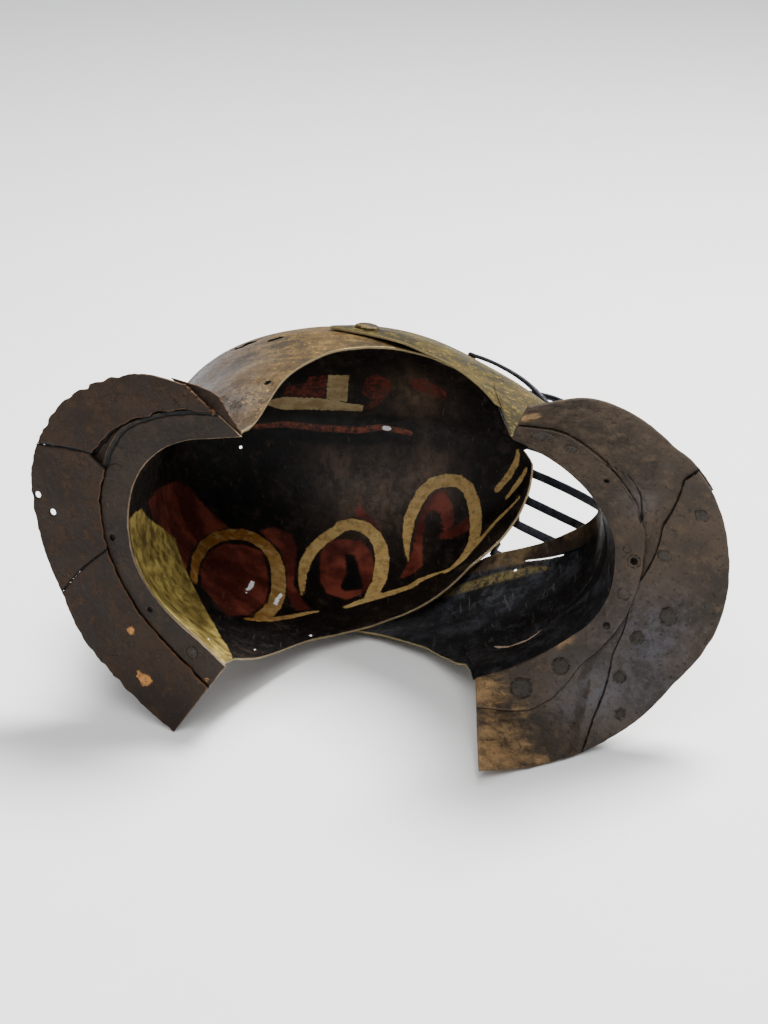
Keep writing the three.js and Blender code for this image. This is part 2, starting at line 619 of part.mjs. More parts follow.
// Front collar
const frontDrills = [...rivetDrills("front"), ...holeDrills("front", [...FRONT_HOLES, CHEST_SLIT])];
add("chest_band", cut(patch("front", {
  left: fixed(0), right: fixed(1), tIn: fixed(0), tOut: along(FRONT_BAND_EDGE),
  lift: fixed(0), ...MESH.band,
}), frontDrills), "chest");
add("chest_side_plate", cut(patch("front", {
  left: across(SEAM_UPPER_SIDE), right: across(SEAM_SIDE_LOWER), tIn: fixed(PLATE_IN_T), tOut: fixed(1),
  lift: fixed(LIFT_SIDE), ...MESH.sidePlate,
}), frontDrills), "chest");
const dip = ({ from, to }) => (u) => {
  const share = THREE.MathUtils.clamp((u - from) / (to - from), 0, 1);
  return THREE.MathUtils.lerp(LIFT_SIDE, LIFT_UNDER, share);
};
add("chest_upper_plate", cut(patch("front", {
  left: fixed(0),
  right: (t) => across(SEAM_UPPER_SIDE)(t) + across(SEAM_UNDERLAP)(t),
  tIn: fixed(PLATE_IN_T), tOut: fixed(1), lift: dip(UPPER_DIP), ...MESH.chestPlate,
}), frontDrills), "chest");
add("chest_lower_plate", cut(patch("front", {
  left: (t) => across(SEAM_SIDE_LOWER)(t) - across(SEAM_UNDERLAP)(t),
  right: fixed(1), tIn: fixed(PLATE_IN_T), tOut: fixed(1), lift: dip(LOWER_DIP), ...MESH.chestPlate,
}), frontDrills), "chest");

// Back collar
const napeHoles = [...NAPE_BAND_HOLES, ...NAPE_STRAP_HOLES];
const backDrills = [...rivetDrills("back"), ...holeDrills("back", napeHoles)];
add("nape_band", cut(patch("back", {
  left: fixed(0), right: fixed(1), tIn: fixed(0), tOut: along(BACK_BAND_EDGE, NAPE_BAND_UNDERLAP),
  lift: fixed(BACK_BAND_LIFT), ...MESH.band,
}), backDrills), "nape");
add("nape_upper_plate", patch("back", {
  left: fixed(0), right: across(SEAM_NAPE_UPPER, -CRACK_HALF_S),
  tIn: along(NAPE_UPPER_IN), tOut: fixed(1), lift: fixed(0), ...MESH.napePlate,
}), "nape");
add("nape_backing", cut(patch("back", {
  left: fixed(BACKING.from), right: fixed(BACKING.to),
  tIn: fixed(BACKING.tIn), tOut: fixed(BACKING.tOut), lift: fixed(BACK_WALL_LIFT), ...MESH.backing,
}), rivetDrills("back")), "nape");
add("nape_middle_plate", cut(patch("back", {
  left: across(SEAM_NAPE_UPPER, CRACK_HALF_S), right: across(SEAM_NAPE_LOWER, -CRACK_HALF_S),
  tIn: along(BACK_BAND_EDGE, NAPE_LOWER_LAP), tOut: fixed(1), lift: fixed(0), ...MESH.napeMiddle,
}), backDrills), "nape");
add("nape_lower_plate", patch("back", {
  left: across(SEAM_NAPE_LOWER, CRACK_HALF_S), right: fixed(1),
  tIn: along(BACK_BAND_EDGE, NAPE_LOWER_LAP), tOut: fixed(1), lift: fixed(0), ...MESH.napePlate,
}), "nape");

// Rivets
for (const row of RIVETS) {
  const n = collarNormal(row.collar, row.s, row.t);
  const head = SEAT_GAP + row.radius * HEAD_LIFT;
  const grip = row.sheets * (COLLAR_SHEET + LAYER_GAP) + head + TAIL_PLAY;
  const seat = rivetPoint(row).addScaledVector(n, -head);
  const shape = rivet(row.radius, row.radius * HEAD_DOME, SHANK_RADIUS, grip, SMALL_SIDES);
  add(row.name, aimed(shape, seat, n.clone().negate()), "rivets");
}
for (const { side, sign } of pivotSides) {
  const out = pivotOut(sign);
  const grip = PLATE_SHEET + SKULL_SHEET + PIVOT.play[side];
  const seat = pivotPoint(sign).addScaledVector(out, PIVOT.seat);
  const shape = rivet(PIVOT.head, PIVOT.dome, PIVOT.shank, grip, ROUND_SIDES);
  add(`pivot_rivet_${side}`, aimed(shape, seat, out), "rivets");
}

// Face bars: flat strips whose feet lie on the skull and on the front plate
function barGeometry({ brow, chin, bow }) {
  const angleAt = (f, side, z) => {
    let [low, high] = [0, 90];
    for (let k = 0; k < BISECTIONS; k += 1) {
      const mid = (low + high) / 2;
      if (f(mid, z).y < Math.abs(side)) low = mid;
      else high = mid;
    }
    return Math.sign(side) * low;
  };
  let [topPhi, topZ, footPhi, footZ] = [0, rimZ(0), 0, PLATE_TOP[0].z];
  for (let k = 0; k < FOOT_PASSES; k += 1) {
    topPhi = angleAt(skullPoint, brow, topZ);
    footPhi = angleAt(platePoint, chin, footZ);
    const lapped = Math.abs(topPhi) > BAR_OVER_PLATE_PHI;
    const plateTop = lapped ? read(PLATE_TOP, "phi", Math.abs(topPhi), "z") : 0;
    topZ = Math.max(rimZ(topPhi), plateTop) + BAR_ABOVE_RIM;
    footZ = read(PLATE_TOP, "phi", Math.abs(footPhi), "z") - BAR_BELOW_TOP;
  }
  const on = (f, phi, z, seat) => f(phi, z).addScaledVector(outward(f, phi, z), BAR_THICK / 2 + seat);
  const a = on(skullPoint, topPhi, topZ + BAR_FOOT / 2, BAR_SEAT.skull);
  const b = on(skullPoint, topPhi, topZ - BAR_FOOT / 2, BAR_SEAT.skull);
  const c = on(platePoint, footPhi, footZ + BAR_FOOT / 2, BAR_SEAT.plate);
  const d = on(platePoint, footPhi, footZ - BAR_FOOT / 2, BAR_SEAT.plate);
  const brows = outward(skullPoint, topPhi, topZ);
  const out = outward(platePoint, footPhi, footZ).add(brows).setZ(0).normalize();
  const path = [a, b];
  for (let k = 1; k < BAR_SPANS; k += 1) {
    const u = k / BAR_SPANS;
    path.push(b.clone().lerp(c, u).addScaledVector(out, bow * Math.sin(Math.PI * u) ** BAR_ROUND));
  }
  path.push(c, d);
  const points = [];
  path.forEach((p, k) => {
    const before = path[Math.max(k - 1, 0)];
    const after = path[Math.min(k + 1, path.length - 1)];
    const run = after.clone().sub(before).normalize();
    const wide = run.clone().cross(out).normalize();
    const thick = wide.clone().cross(run).normalize();
    for (const [i, j] of [[-1, -1], [1, -1], [1, 1], [-1, 1]]) {
      const corner = p.clone().addScaledVector(wide, i * BAR_WIDTH / 2);
      points.push(corner.addScaledVector(thick, j * BAR_THICK / 2));
    }
  });
  const index = [0, 1, 2, 0, 2, 3];
  for (let k = 0; k < path.length - 1; k += 1) {
    for (let m = 0; m < 4; m += 1) {
      const [p, q] = [k * 4 + m, k * 4 + ((m + 1) % 4)];
      index.push(p, p + 4, q + 4, p, q + 4, q);
    }
  }
  const e = (path.length - 1) * 4;
  index.push(e, e + 2, e + 1, e, e + 3, e + 2);
  return closed(points, index);
}
for (const row of BARS) add(row.name, barGeometry(row), "bars");

// Lay the helmet on its left side, its box's bottom centre at the origin
const tip = new THREE.Matrix4().set(1, 0, 0, 0, 0, 0, 1, 0, 0, -1, 0, 0, 0, 0, 0, 1);
const lie = new THREE.Matrix4().makeRotationZ(rad(LIE_YAW))
  .multiply(new THREE.Matrix4().makeRotationX(rad(LIE_PITCH)))
  .multiply(new THREE.Matrix4().makeRotationY(rad(LIE_ROLL)))
  .multiply(tip);
helmet.applyMatrix4(lie);
helmet.updateMatrixWorld(true);
const box = new THREE.Box3().setFromObject(helmet, true);
const centre = box.getCenter(vec(0, 0, 0));
helmet.position.set(-centre.x, -centre.y, -box.min.z);
helmet.updateMatrixWorld(true);

export default helmet;
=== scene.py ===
import math

import bmesh
import bpy
import numpy as np
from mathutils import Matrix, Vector, noise


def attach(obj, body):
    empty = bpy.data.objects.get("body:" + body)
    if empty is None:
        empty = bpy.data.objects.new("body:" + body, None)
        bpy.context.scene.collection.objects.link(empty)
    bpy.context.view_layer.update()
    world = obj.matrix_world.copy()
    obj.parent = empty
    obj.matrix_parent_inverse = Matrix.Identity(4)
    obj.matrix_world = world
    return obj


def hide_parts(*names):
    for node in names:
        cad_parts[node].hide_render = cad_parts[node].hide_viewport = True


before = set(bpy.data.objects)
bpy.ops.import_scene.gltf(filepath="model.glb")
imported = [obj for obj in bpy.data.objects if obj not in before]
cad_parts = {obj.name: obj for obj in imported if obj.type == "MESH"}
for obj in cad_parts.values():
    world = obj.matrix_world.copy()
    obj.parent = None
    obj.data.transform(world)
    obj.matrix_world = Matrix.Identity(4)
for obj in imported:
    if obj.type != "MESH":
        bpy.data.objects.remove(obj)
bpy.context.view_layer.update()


# The camera stands in front of the neck opening and a little above it, as the helmet lies on
# its left side, and looks straight at the middle of the helmet.
CAMERA_AT = (0.0070, -1.5609, 0.8126)
CAMERA_LOOKS_AT = (0.0053, -0.0965, 0.1669)
CAMERA_LENS_MM = 78.1


def shown(name, data):
    """A new object in the scene."""
    made = bpy.data.objects.new(name, data)
    bpy.context.scene.collection.objects.link(made)
    return made


camera_data = bpy.data.cameras.new("camera")
camera_data.lens = CAMERA_LENS_MM
camera_data.sensor_width = 36
camera = shown("camera", camera_data)
camera.location = CAMERA_AT
look = Vector(CAMERA_LOOKS_AT) - Vector(CAMERA_AT)
camera.rotation_euler = look.to_track_quat("-Z", "Y").to_euler()
bpy.context.scene.camera = camera


# The skull: one shell beaten from iron plate about 2.2 mm thick, open at the face, the neck and
# both shoulders. Its outside has a golden brown patina. Its inside was painted in oil: near
# black, with ochre open rings on a band, dark red strokes, and olive yellow on the nape.

# Helmet frame: x to the face, y to the wearer's left, z to the crown, in mm. Angles phi run
# round the crown axis from the face towards the left.
LIE_YAW, LIE_PITCH, LIE_ROLL = 3.51, -3.39, 5.18
LIE_SHIFT_MM = (-18.773, -98.322, 140.020)


def turn(axis, degrees):
    c, s = math.cos(math.radians(degrees)), math.sin(math.radians(degrees))
    return {"x": np.array([[1, 0, 0], [0, c, -s], [0, s, c]]),
            "y": np.array([[c, 0, s], [0, 1, 0], [-s, 0, c]]),
            "z": np.array([[c, -s, 0], [s, c, 0], [0, 0, 1]])}[axis]


TIP_OVER = np.array([[1, 0, 0], [0, 0, 1], [0, -1, 0]], float)
LYING = turn("z", LIE_YAW) @ turn("x", LIE_PITCH) @ turn("y", LIE_ROLL) @ TIP_OVER


def lying(points):
    """Helmet frame in mm to the row frame in metres."""
    return (np.asarray(points) @ LYING.T + np.array(LIE_SHIFT_MM)) / 1000


SKULL_SHEET = 2.2
PLATE_SHEET = 2.0
SEAT_GAP = 0.3
DOME_BASE, DOME_TOP, DOME_CHECK = 170, 293, 240
OVAL_EXPONENT = 2.1
OUTLINE = {"z": [0, 50, 110, 170, 240],
           "back": [158, 160, 148, 144, 123],
           "side": [105, 118.5, 119, 115.5, 89],
           "plate": [191, 187, 196, 158, 120],
           "brow": [122, 122, 122, 146.6, 164]}
KEEL_HEIGHT, KEEL_WIDTH = 2.5, 14
SKULL_RIM = {"phi": [0, 25, 50, 75, 95, 108, 121.5], "z": [247, 209, 150, 127, 100, 52, -14]}
NECK_FADE_Z = 90
WALL_T, WALL_CLEAR = 0.035, 0.3
NAPE_SHEET = 2.0
BACK_PLANE = {"x": -86, "z": -25, "slope": -0.5}
BACK_COLLAR = {
    "phi": [236.4, 228.8, 221.6, 212.9, 202.7, 192, 181.5, 171.4, 160.6, 149.8, 140.3, 131, 121.5],
    "xi": [-86, -106, -125, -142, -155, -162, -163, -159, -150, -136, -120, -103, -86],
    "yi": [-86, -80, -74, -63, -46, -26, -4, 18, 37, 54, 67, 78, 90],
    "xo": [-127, -156, -185, -210, -227, -235, -232, -222, -208, -193, -171, -146, -120],
    "yo": [-116, -117, -107, -88, -61, -29, 4, 36, 66, 94, 117, 136, 152]}
FRONT_COLLAR = {
    "phi": [-59.6, -51.4, -42.6, -32.7, -21.8, -10.1, 1.3, 13.1, 24.1, 33.8, 43, 51.4, 59.6],
    "xi": [105, 126, 146, 164, 179, 190, 193, 191, 180, 162, 142, 120, 98],
    "yi": [-96, -86, -74, -59, -41, -20, 3, 25, 45, 60, 72, 82, 89],
    "zi": [-19, -16, -13, -10, -8, -6, -6, -6, -8, -10, -14, -17, -20],
    "xo": [105, 145, 183, 216, 245, 263, 270, 263, 240, 213, 178, 139, 98],
    "yo": [-138, -143, -129, -105, -76, -39, 1, 41, 73, 103, 121, 129, 124],
    "zo": [-85, -73, -61, -52, -45, -41, -40, -41, -46, -52, -63, -78, -97]}
COLLARS = {"front": FRONT_COLLAR, "back": BACK_COLLAR}


def smooth(table, key, at, col):
    """One column of a table, read as a smooth curve through its rows."""
    x, y = np.array(table[key], float), np.array(table[col], float)
    if x[0] > x[-1]:
        x, y = x[::-1], y[::-1]
    at = np.clip(at, x[0], x[-1])
    i = np.clip(np.searchsorted(x, at, "left") - 1, 0, len(x) - 2)
    low, high = np.maximum(np.arange(len(x)) - 1, 0), np.minimum(np.arange(len(x)) + 1, len(x) - 1)
    slope = (y[high] - y[low]) / (x[high] - x[low])
    h = x[i + 1] - x[i]
    u = (at - x[i]) / h
    return (y[i] * (1 + 2 * u) * (1 - u) ** 2 + y[i + 1] * u * u * (3 - 2 * u)
            + h * u * (1 - u) * (slope[i] * (1 - u) - slope[i + 1] * u))


def smoothstep(value, low, high):
    u = np.clip((value - low) / (high - low), 0, 1)
    return u * u * (3 - 2 * u)


def half_length(col, z):
    """Half length of the plan outline at a height; above the dome base it closes as an ellipse."""
    base = float(OUTLINE[col][OUTLINE["z"].index(DOME_BASE)])
    high = float(OUTLINE[col][OUTLINE["z"].index(DOME_CHECK)])

    def fall(h):
        return np.sqrt(np.maximum(1 - ((h - DOME_BASE) / (DOME_TOP - DOME_BASE)) ** 2, 0))

    lean = high / (base * fall(DOME_CHECK)) - 1
    up = np.minimum((z - DOME_BASE) / (DOME_CHECK - DOME_BASE), 1)
    return np.where(z <= DOME_BASE, smooth(OUTLINE, "z", z, col), base * fall(z) * (1 + lean * up))


def outline_point(phi, z, front):
    c, s = np.cos(np.radians(phi)), np.sin(np.radians(phi))
    ahead = np.maximum(half_length(front, z), half_length("brow", z))
    length = np.where(c < 0, half_length("back", z), ahead)
    power = 2 / OVAL_EXPONENT
    return np.stack([length * np.sign(c) * np.abs(c) ** power,
                     half_length("side", z) * np.sign(s) * np.abs(s) ** power, z + 0 * c], -1)


def collar_point(collar, s, t):
    """A point on a collar: s runs along it from right to left, t from its inner edge outwards."""
    table = COLLARS[collar]
    rows = dict(table, i=list(range(len(table["phi"]))))
    at = np.asarray(s, float) * (len(table["phi"]) - 1)
    x, y = (smooth(rows, "i", at, axis + "i") * (1 - t) + smooth(rows, "i", at, axis + "o") * t
            for axis in "xy")
    if collar == "front":
        z = smooth(rows, "i", at, "zi") * (1 - t) + smooth(rows, "i", at, "zo") * t
    else:
        z = BACK_PLANE["z"] + BACK_PLANE["slope"] * (x - BACK_PLANE["x"])
    return np.stack([x, y, z], -1)


def unit(v):
    return v / np.maximum(np.linalg.norm(v, axis=-1, keepdims=True), 1e-9)


def collar_normal(collar, s, t):
    """Unit normal of a collar, towards the crown."""
    d = 0.01
    after, before = np.minimum(s + d, 1), np.maximum(s - d, 0)
    along = collar_point(collar, after, t) - collar_point(collar, before, t)
    across = collar_point(collar, s, t + d) - collar_point(collar, s, t - d)
    n = unit(np.cross(along, across))
    return np.where(n[..., 2:] < 0, -n, n)


def lifted(collar, s, t, lift):
    lift = np.asarray(lift, float)[..., None]
    return collar_point(collar, s, t) + collar_normal(collar, s, t) * lift


def wall_foot(collar, s, lift):
    """Foot of a neck wall, just outside the inner edge of its collar band."""
    edge, foot = lifted(collar, s, 0 * s, lift), lifted(collar, s, WALL_T + 0 * s, lift)
    foot[..., 2] = np.maximum(edge[..., 2], foot[..., 2]) + WALL_CLEAR
    return foot


def neck_s(collar, phi):
    """How far along a collar an angle of the neck is."""
    angles = COLLARS[collar]["phi"]
    rows = {"phi": angles, "s": list(np.arange(len(angles)) / (len(angles) - 1))}
    return smooth(rows, "phi", phi, "s")


NAPE_LEFT_PHI, NAPE_RIGHT_PHI = BACK_COLLAR["phi"][-1], BACK_COLLAR["phi"][0]
BACK_WALL_LIFT = 2 * (NAPE_SHEET + SEAT_GAP)


def level(points):
    return points * np.array([1, 1, 0])


def skull_point(phi, z):
    phi, z = np.broadcast_arrays(np.asarray(phi, float), np.asarray(z, float))
    nape = np.clip(np.where(phi < 0, phi + 360, phi), NAPE_LEFT_PHI, NAPE_RIGHT_PHI)
    foot = wall_foot("back", neck_s("back", nape), BACK_WALL_LIFT)
    p = outline_point(phi, z, "brow")
    fade = smoothstep(NECK_FADE_Z - z, 0, NECK_FADE_Z - foot[..., 2])
    p = p + level(foot - outline_point(nape, foot[..., 2], "brow")) * fade[..., None]
    keel = KEEL_HEIGHT * np.exp(-((p[..., 1] / KEEL_WIDTH) ** 2))
    high = smoothstep(z, DOME_BASE, DOME_CHECK)
    return p + unit(p - np.array([0, 0, DOME_BASE])) * (keel * high)[..., None]


def bumps(points, size, seed):
    """Smooth random height, -1 to 1, over features of one size in mm."""
    flat = np.asarray(points).reshape(-1, 3) / size + seed
    return np.array([noise.noise(Vector(p)) for p in flat]).reshape(np.shape(points)[:-1])


def dented(points, normal, depths, seed):
    """Points pushed along their normal by dents given as size: depth, both in mm."""
    push = sum(depth * bumps(points, size, seed + size) for size, depth in depths.items())
    return points + normal * np.asarray(push)[..., None]


def spaced(count, edge, start=True, end=True):
    """Even steps from 0 to 1, with one more close to each free end for a worn edge."""
    steps = list(np.linspace(0, 1, count + 1))
    if start:
        steps.insert(1, edge)
    if end:
        steps.insert(-1, 1 - edge)
    return np.array(steps)


def segment_distance(points, line):
    """Distance from each point to a polyline, with the nearest place along it."""
    best = np.full(points.shape[:-1], 1e9)
    place = np.zeros(points.shape[:-1])
    line = np.asarray(line, float)
    if len(line) == 1:
        return np.linalg.norm(points - line[0], axis=-1), place
    for k, (a, b) in enumerate(zip(line[:-1], line[1:])):
        run = b - a
        u = np.clip(((points - a) @ run) / max(run @ run, 1e-9), 0, 1)
        d = np.linalg.norm(points - (a + u[..., None] * run), axis=-1)
        nearer = d < best
        best, place = np.where(nearer, d, best), np.where(nearer, k + u, place)
    return best, place


# A value of FAR says that no edge, hole or mark is near.
FAR = 99.0
EDGE_PINCH = 0.22
SHARP_FROM_DEGREES = 50


def sheet(name, grid, thickness, holes=(), wrap=False, pole=False, depths=None, seed=0, extra=None):
    """A closed iron sheet from a grid of points: a first face, a second face one thickness
    further, walls round its edges and round each hole. Holes are (line, half width) in mm.
    Extra gives named values per point, as (first face, second face)."""
    rows, cols = grid.shape[:2]
    across = np.roll(grid, -1, 1) - np.roll(grid, 1, 1) if wrap else np.gradient(grid, axis=1)
    n = unit(np.cross(across, np.gradient(grid, axis=0)))
    if pole:
        n[0] = [0, 0, -1]
    if depths:
        grid = dented(grid, n, depths, seed)
    if pole:
        grid[0] = grid[0, 0]
    span = cols if wrap else cols - 1
    right = (np.arange(span) + 1) % cols
    centre = (grid[:-1, :span] + grid[1:, :span] + grid[:-1][:, right] + grid[1:][:, right]) / 4
    cell = np.linalg.norm(grid[1:, :span] - grid[:-1, :span], axis=-1)
    keep = np.ones((rows - 1, span), bool)
    first, second = grid.copy(), grid + n * thickness
    bored = np.zeros((rows, cols), bool)
    hole = np.full((rows, cols), FAR)
    for line, half in holes:
        line = np.atleast_2d(line)
        gone = segment_distance(centre, line)[0] < half + 0.2 * np.minimum(cell, 3)
        keep &= ~gone
        near = np.zeros((rows, cols), bool)
        for i, j in zip(*np.nonzero(gone)):
            near[i:i + 2, [j, right[j]]] = True
        bored |= near
        # Points round the hole are drawn to its true outline.
        distance, place = segment_distance(grid, line)
        foot = np.stack([np.interp(place, range(len(line)), line[:, axis]) for axis in range(3)], -1)
        move = (grid - foot) * (half / np.maximum(distance, 0.05) - 1)[..., None]
        first[near] += move[near]
        second[near] += move[near]
        hole = np.minimum(hole, distance - half)
    hole[bored] = 0

    # Where fewer than four cells meet is an edge: it is pinched a little thinner, as filed edges are.
    filled = np.zeros((rows, cols), int)
    for below in (0, 1):
        for column in (np.arange(span), right):
            np.add.at(filled, (np.arange(rows - 1)[:, None] + below, column[None, :]), keep)
    border = (filled > 0) & (filled < 4)
    if pole:
        border[0] = False
    pinch = EDGE_PINCH * thickness * border[..., None]
    first, second = first + n * pinch, second - n * pinch

    index = np.arange(rows * cols).reshape(rows, cols)
    if pole:
        index[0] = 0
    faces, looks = [], []
    shift = rows * cols
    for i, j in zip(*np.nonzero(keep)):
        k = right[j]
        loop = [index[i, j], index[i + 1, j], index[i + 1, k], index[i, k]]
        if pole and i == 0:
            loop = loop[:3]
        faces += [loop, [v + shift for v in reversed(loop)]]
        looks += [0, 1]
        sides = [((i, j), (i + 1, j), j == 0 and not wrap or not keep[i, j - 1]),
                 ((i + 1, j), (i + 1, k), i == rows - 2 or not keep[i + 1, j]),
                 ((i + 1, k), (i, k), j == span - 1 and not wrap or not keep[i, (j + 1) % span]),
                 ((i, k), (i, j), not pole if i == 0 else not keep[i - 1, j])]
        for a, b, is_open in sides:
            if is_open:
                faces.append([index[b], index[a], index[a] + shift, index[b] + shift])
                looks.append(0)
    mesh = bpy.data.meshes.new(name)
    mesh.from_pydata(lying(np.vstack([first.reshape(-1, 3), second.reshape(-1, 3)])).tolist(), [], faces)
    mesh.polygons.foreach_set("material_index", looks)
    mesh.polygons.foreach_set("use_smooth", [True] * len(faces))
    rim = np.array([np.sqrt(((row[:, None, :] - grid[border][None]) ** 2).sum(-1)).min(-1) for row in grid])
    for key, sides in {"rim": (rim, rim), "hole": (hole, hole), **(extra or {})}.items():
        layer = mesh.attributes.new(key, "FLOAT", "POINT")
        both = np.concatenate([np.broadcast_to(side, (rows, cols)).ravel() for side in sides])
        layer.data.foreach_set("value", both.astype(np.float32))
    work = bmesh.new()
    work.from_mesh(mesh)
    bmesh.ops.delete(work, geom=[v for v in work.verts if not v.link_faces], context="VERTS")
    work.to_mesh(mesh)
    work.free()
    mesh.set_sharp_from_angle(angle=math.radians(SHARP_FROM_DEGREES))
    return shown(name, mesh)


def colour(hex_code):
    """sRGB hex to linear RGBA."""
    parts = [int(hex_code[i:i + 2], 16) / 255 for i in (1, 3, 5)]
    return [*(c / 12.92 if c <= 0.04045 else ((c + 0.055) / 1.055) ** 2.4 for c in parts), 1]


def add(tree, kind, inputs=None, **settings):
    """One node with its settings. An input is a value, a hex colour, or an output to link to."""
    made = tree.nodes.new(kind)
    for key, value in settings.items():
        setattr(made, key, value)
    for key, value in (inputs or {}).items():
        if isinstance(value, bpy.types.NodeSocket):
            tree.links.new(value, made.inputs[key])
        else:
            made.inputs[key].default_value = colour(value) if str(value).startswith("#") else value
    return made


class Surface:
    """A material built up in coats. Its patterns are noise: feature size in mm, detail,
    roughness and, where it was brushed, how it is drawn out along each axis and turned."""

    def __init__(self, name, patterns):
        self.material = bpy.data.materials.new(name)
        self.material.use_nodes = True
        self.tree = self.material.node_tree
        self.tree.nodes.clear()
        self.place = add(self.tree, "ShaderNodeTexCoord").outputs["Object"]
        self.patterns, self.made = patterns, {}

    def value(self, name):
        """A pattern, or else a named value of the mesh, made when it is first asked for."""
        if name not in self.made and name in self.patterns:
            size_mm, detail, rough, *drawn = self.patterns[name]
            place = self.place
            if drawn:
                turned = {"Vector": place, "Scale": drawn[0], "Rotation": (0.3, 0.2, drawn[1])}
                place = add(self.tree, "ShaderNodeMapping", turned).outputs[0]
            grain = {"Vector": place, "Scale": 1000 / size_mm, "Detail": detail, "Roughness": rough}
            self.made[name] = add(self.tree, "ShaderNodeTexNoise", grain).outputs["Fac"]
        elif name not in self.made:
            self.made[name] = add(self.tree, "ShaderNodeAttribute", attribute_name=name).outputs["Fac"]
        return self.made[name]

    def share(self, name, low, high, most=1.0, least=0.0, by=None, fray=0.0):
        """From least to most while a value runs from low to high, with soft ends. A pattern
        can fray it: it moves the value up and down over that many mm."""
        value = self.value(name)
        if by:
            frayed = {0: self.value(by), 1: fray, 2: value}
            value = add(self.tree, "ShaderNodeMath", frayed, operation="MULTIPLY_ADD").outputs[0]
        span = {"Value": value, "From Min": low + fray / 2, "From Max": high + fray / 2,
                "To Min": least, "To Max": most}
        return add(self.tree, "ShaderNodeMapRange", span, interpolation_type="SMOOTHSTEP").outputs[0]

    def product(self, *shares):
        whole = shares[0]
        for limit in shares[1:]:
            whole = add(self.tree, "ShaderNodeMath", {0: whole, 1: limit}, operation="MULTIPLY").outputs[0]
        return whole

    def coat(self, under, over, *shares):
        """One colour laid over another, as far as all the shares let it."""
        mixed = {0: self.product(*shares), 6: under, 7: over}
        return add(self.tree, "ShaderNodeMix", mixed, data_type="RGBA").outputs[2]

    def finish(self, base, rough, metal, heights, shine=0.5):
        """The shader, from colour, roughness, metallic and bumps as (depth in mm, height)."""
        normal = {}
        for depth_mm, height in heights:
            bump = {"Height": height, "Distance": depth_mm / 1000, "Strength": 1.0, **normal}
            normal = {"Normal": add(self.tree, "ShaderNodeBump", bump).outputs[0]}
        given = {"Base Color": base, "Roughness": rough, "Metallic": metal, "Specular IOR Level": shine}
        shader = add(self.tree, "ShaderNodeBsdfPrincipled", {**given, **normal})
        add(self.tree, "ShaderNodeOutputMaterial", {"Surface": shader.outputs[0]})
        return self.material


def patinated_iron(name, deep, mid, pale, speck, metal=0.35, rough=(0.42, 0.7), cloud_mm=38,
                   speck_share=0.62, cold=None, rust=None, line=False, edge="#7d6a55", dust="#8b8073",
                   edge_share=0.8, flaky=True, shine=0.25, holed=True, cracked=False, flecked=0.0):
    """Old iron under a skin of oxide and oil: three tones in clouds, pits, fine scratches,
    rust specks, a brighter edge, worn bare and with a painted highlight; cold, rust and line colours follow
    named values."""
    iron = Surface(name, {
        "cloud": (cloud_mm, 7, 0.62), "patches": (cloud_mm / 4, 8, 0.65), "fine": (1.6, 6, 0.7),
        "pits": (3.5, 4, 0.5), "speckle": (6, 8, 0.75), "specks": (5.5, 9, 0.75),
        "flakes": (7, 8, 0.72, (0.5, 1, 1), 0.8), "streaks": (3, 6, 0.7, (1, 0.3, 0.5), 0.9),
        "flecks": (2.8, 4, 0.6), "soot": (3.1, 3, 0.55), "net": (26, 3, 0.6)})
    base = iron.coat(deep, mid, iron.share("cloud", 0.36, 0.6))
    base = iron.coat(base, pale, iron.share("patches", 0.48, 0.72))
    gloss = iron.share("patches", 0.3, 0.7, least=rough[0], most=rough[1])
    if cold:
        base = iron.coat(base, cold, iron.value("cold"), iron.share("patches", 0.38, 0.62, 0.8, 0.2))
        rubbed = {0: iron.value("cold"), 1: -0.12, 2: gloss}
        gloss = add(iron.tree, "ShaderNodeMath", rubbed, operation="MULTIPLY_ADD").outputs[0]
    if rust:
        low, high = (0.62, 0.9) if flaky else (-0.1, 1.3)
        base = iron.coat(base, rust, iron.share("rust", low, high, by="flakes", fray=3.0),
                         iron.share("rust", 0.08, 0.4, 0.85))
    base = iron.coat(base, speck, iron.share("specks", speck_share, speck_share + 0.07, 0.75))
    base = iron.coat(base, deep, iron.share("speckle", 0.5, 0.6, 0.45))
    if flecked:
        base = iron.coat(base, speck, iron.share("flecks", 0.6, 0.66, flecked),
                         iron.share("patches", 0.4, 0.55))
        base = iron.coat(base, "#1d150c", iron.share("soot", 0.385, 0.35, 0.8 * flecked))
    base = iron.coat(base, dust, iron.share("streaks", 0.6, 0.72, 0.3))
    base = iron.coat(base, "#120d0a", iron.share("pits", 0.42, 0.3, 0.55))
    # Along every rim: iron worn bare, and a painted highlight.
    base = iron.coat(base, edge, iron.share("rim", 0.7, 0.1, edge_share, by="patches", fray=2.0))
    # Painted shade: near black in and round each hole.
    if holed:
        base = iron.coat(base, "#050403", iron.share("hole", 1.1, 0.5, by="fine", fray=1.0))
    heights = [(0.9, iron.value("patches")), (0.35, iron.value("pits")), (0.3, iron.value("speckle")),
               (0.12, iron.value("fine"))]
    if cracked:
        scale = iron.product(iron.share("net", 0.488, 0.497), iron.share("net", 0.512, 0.503),
                             iron.share("cloud", 0.46, 0.52))
        base = iron.coat(base, "#0d0806", scale, 0.3)
        heights.append((-0.35, scale))
    if line:
        base = iron.coat(base, "#070504", iron.share("line", 0.7, 0.25, by="fine", fray=0.5))
        heights.append((1.0, iron.share("line", -0.2, 1.4)))
    return iron.finish(base, gloss, metal, heights, shine)


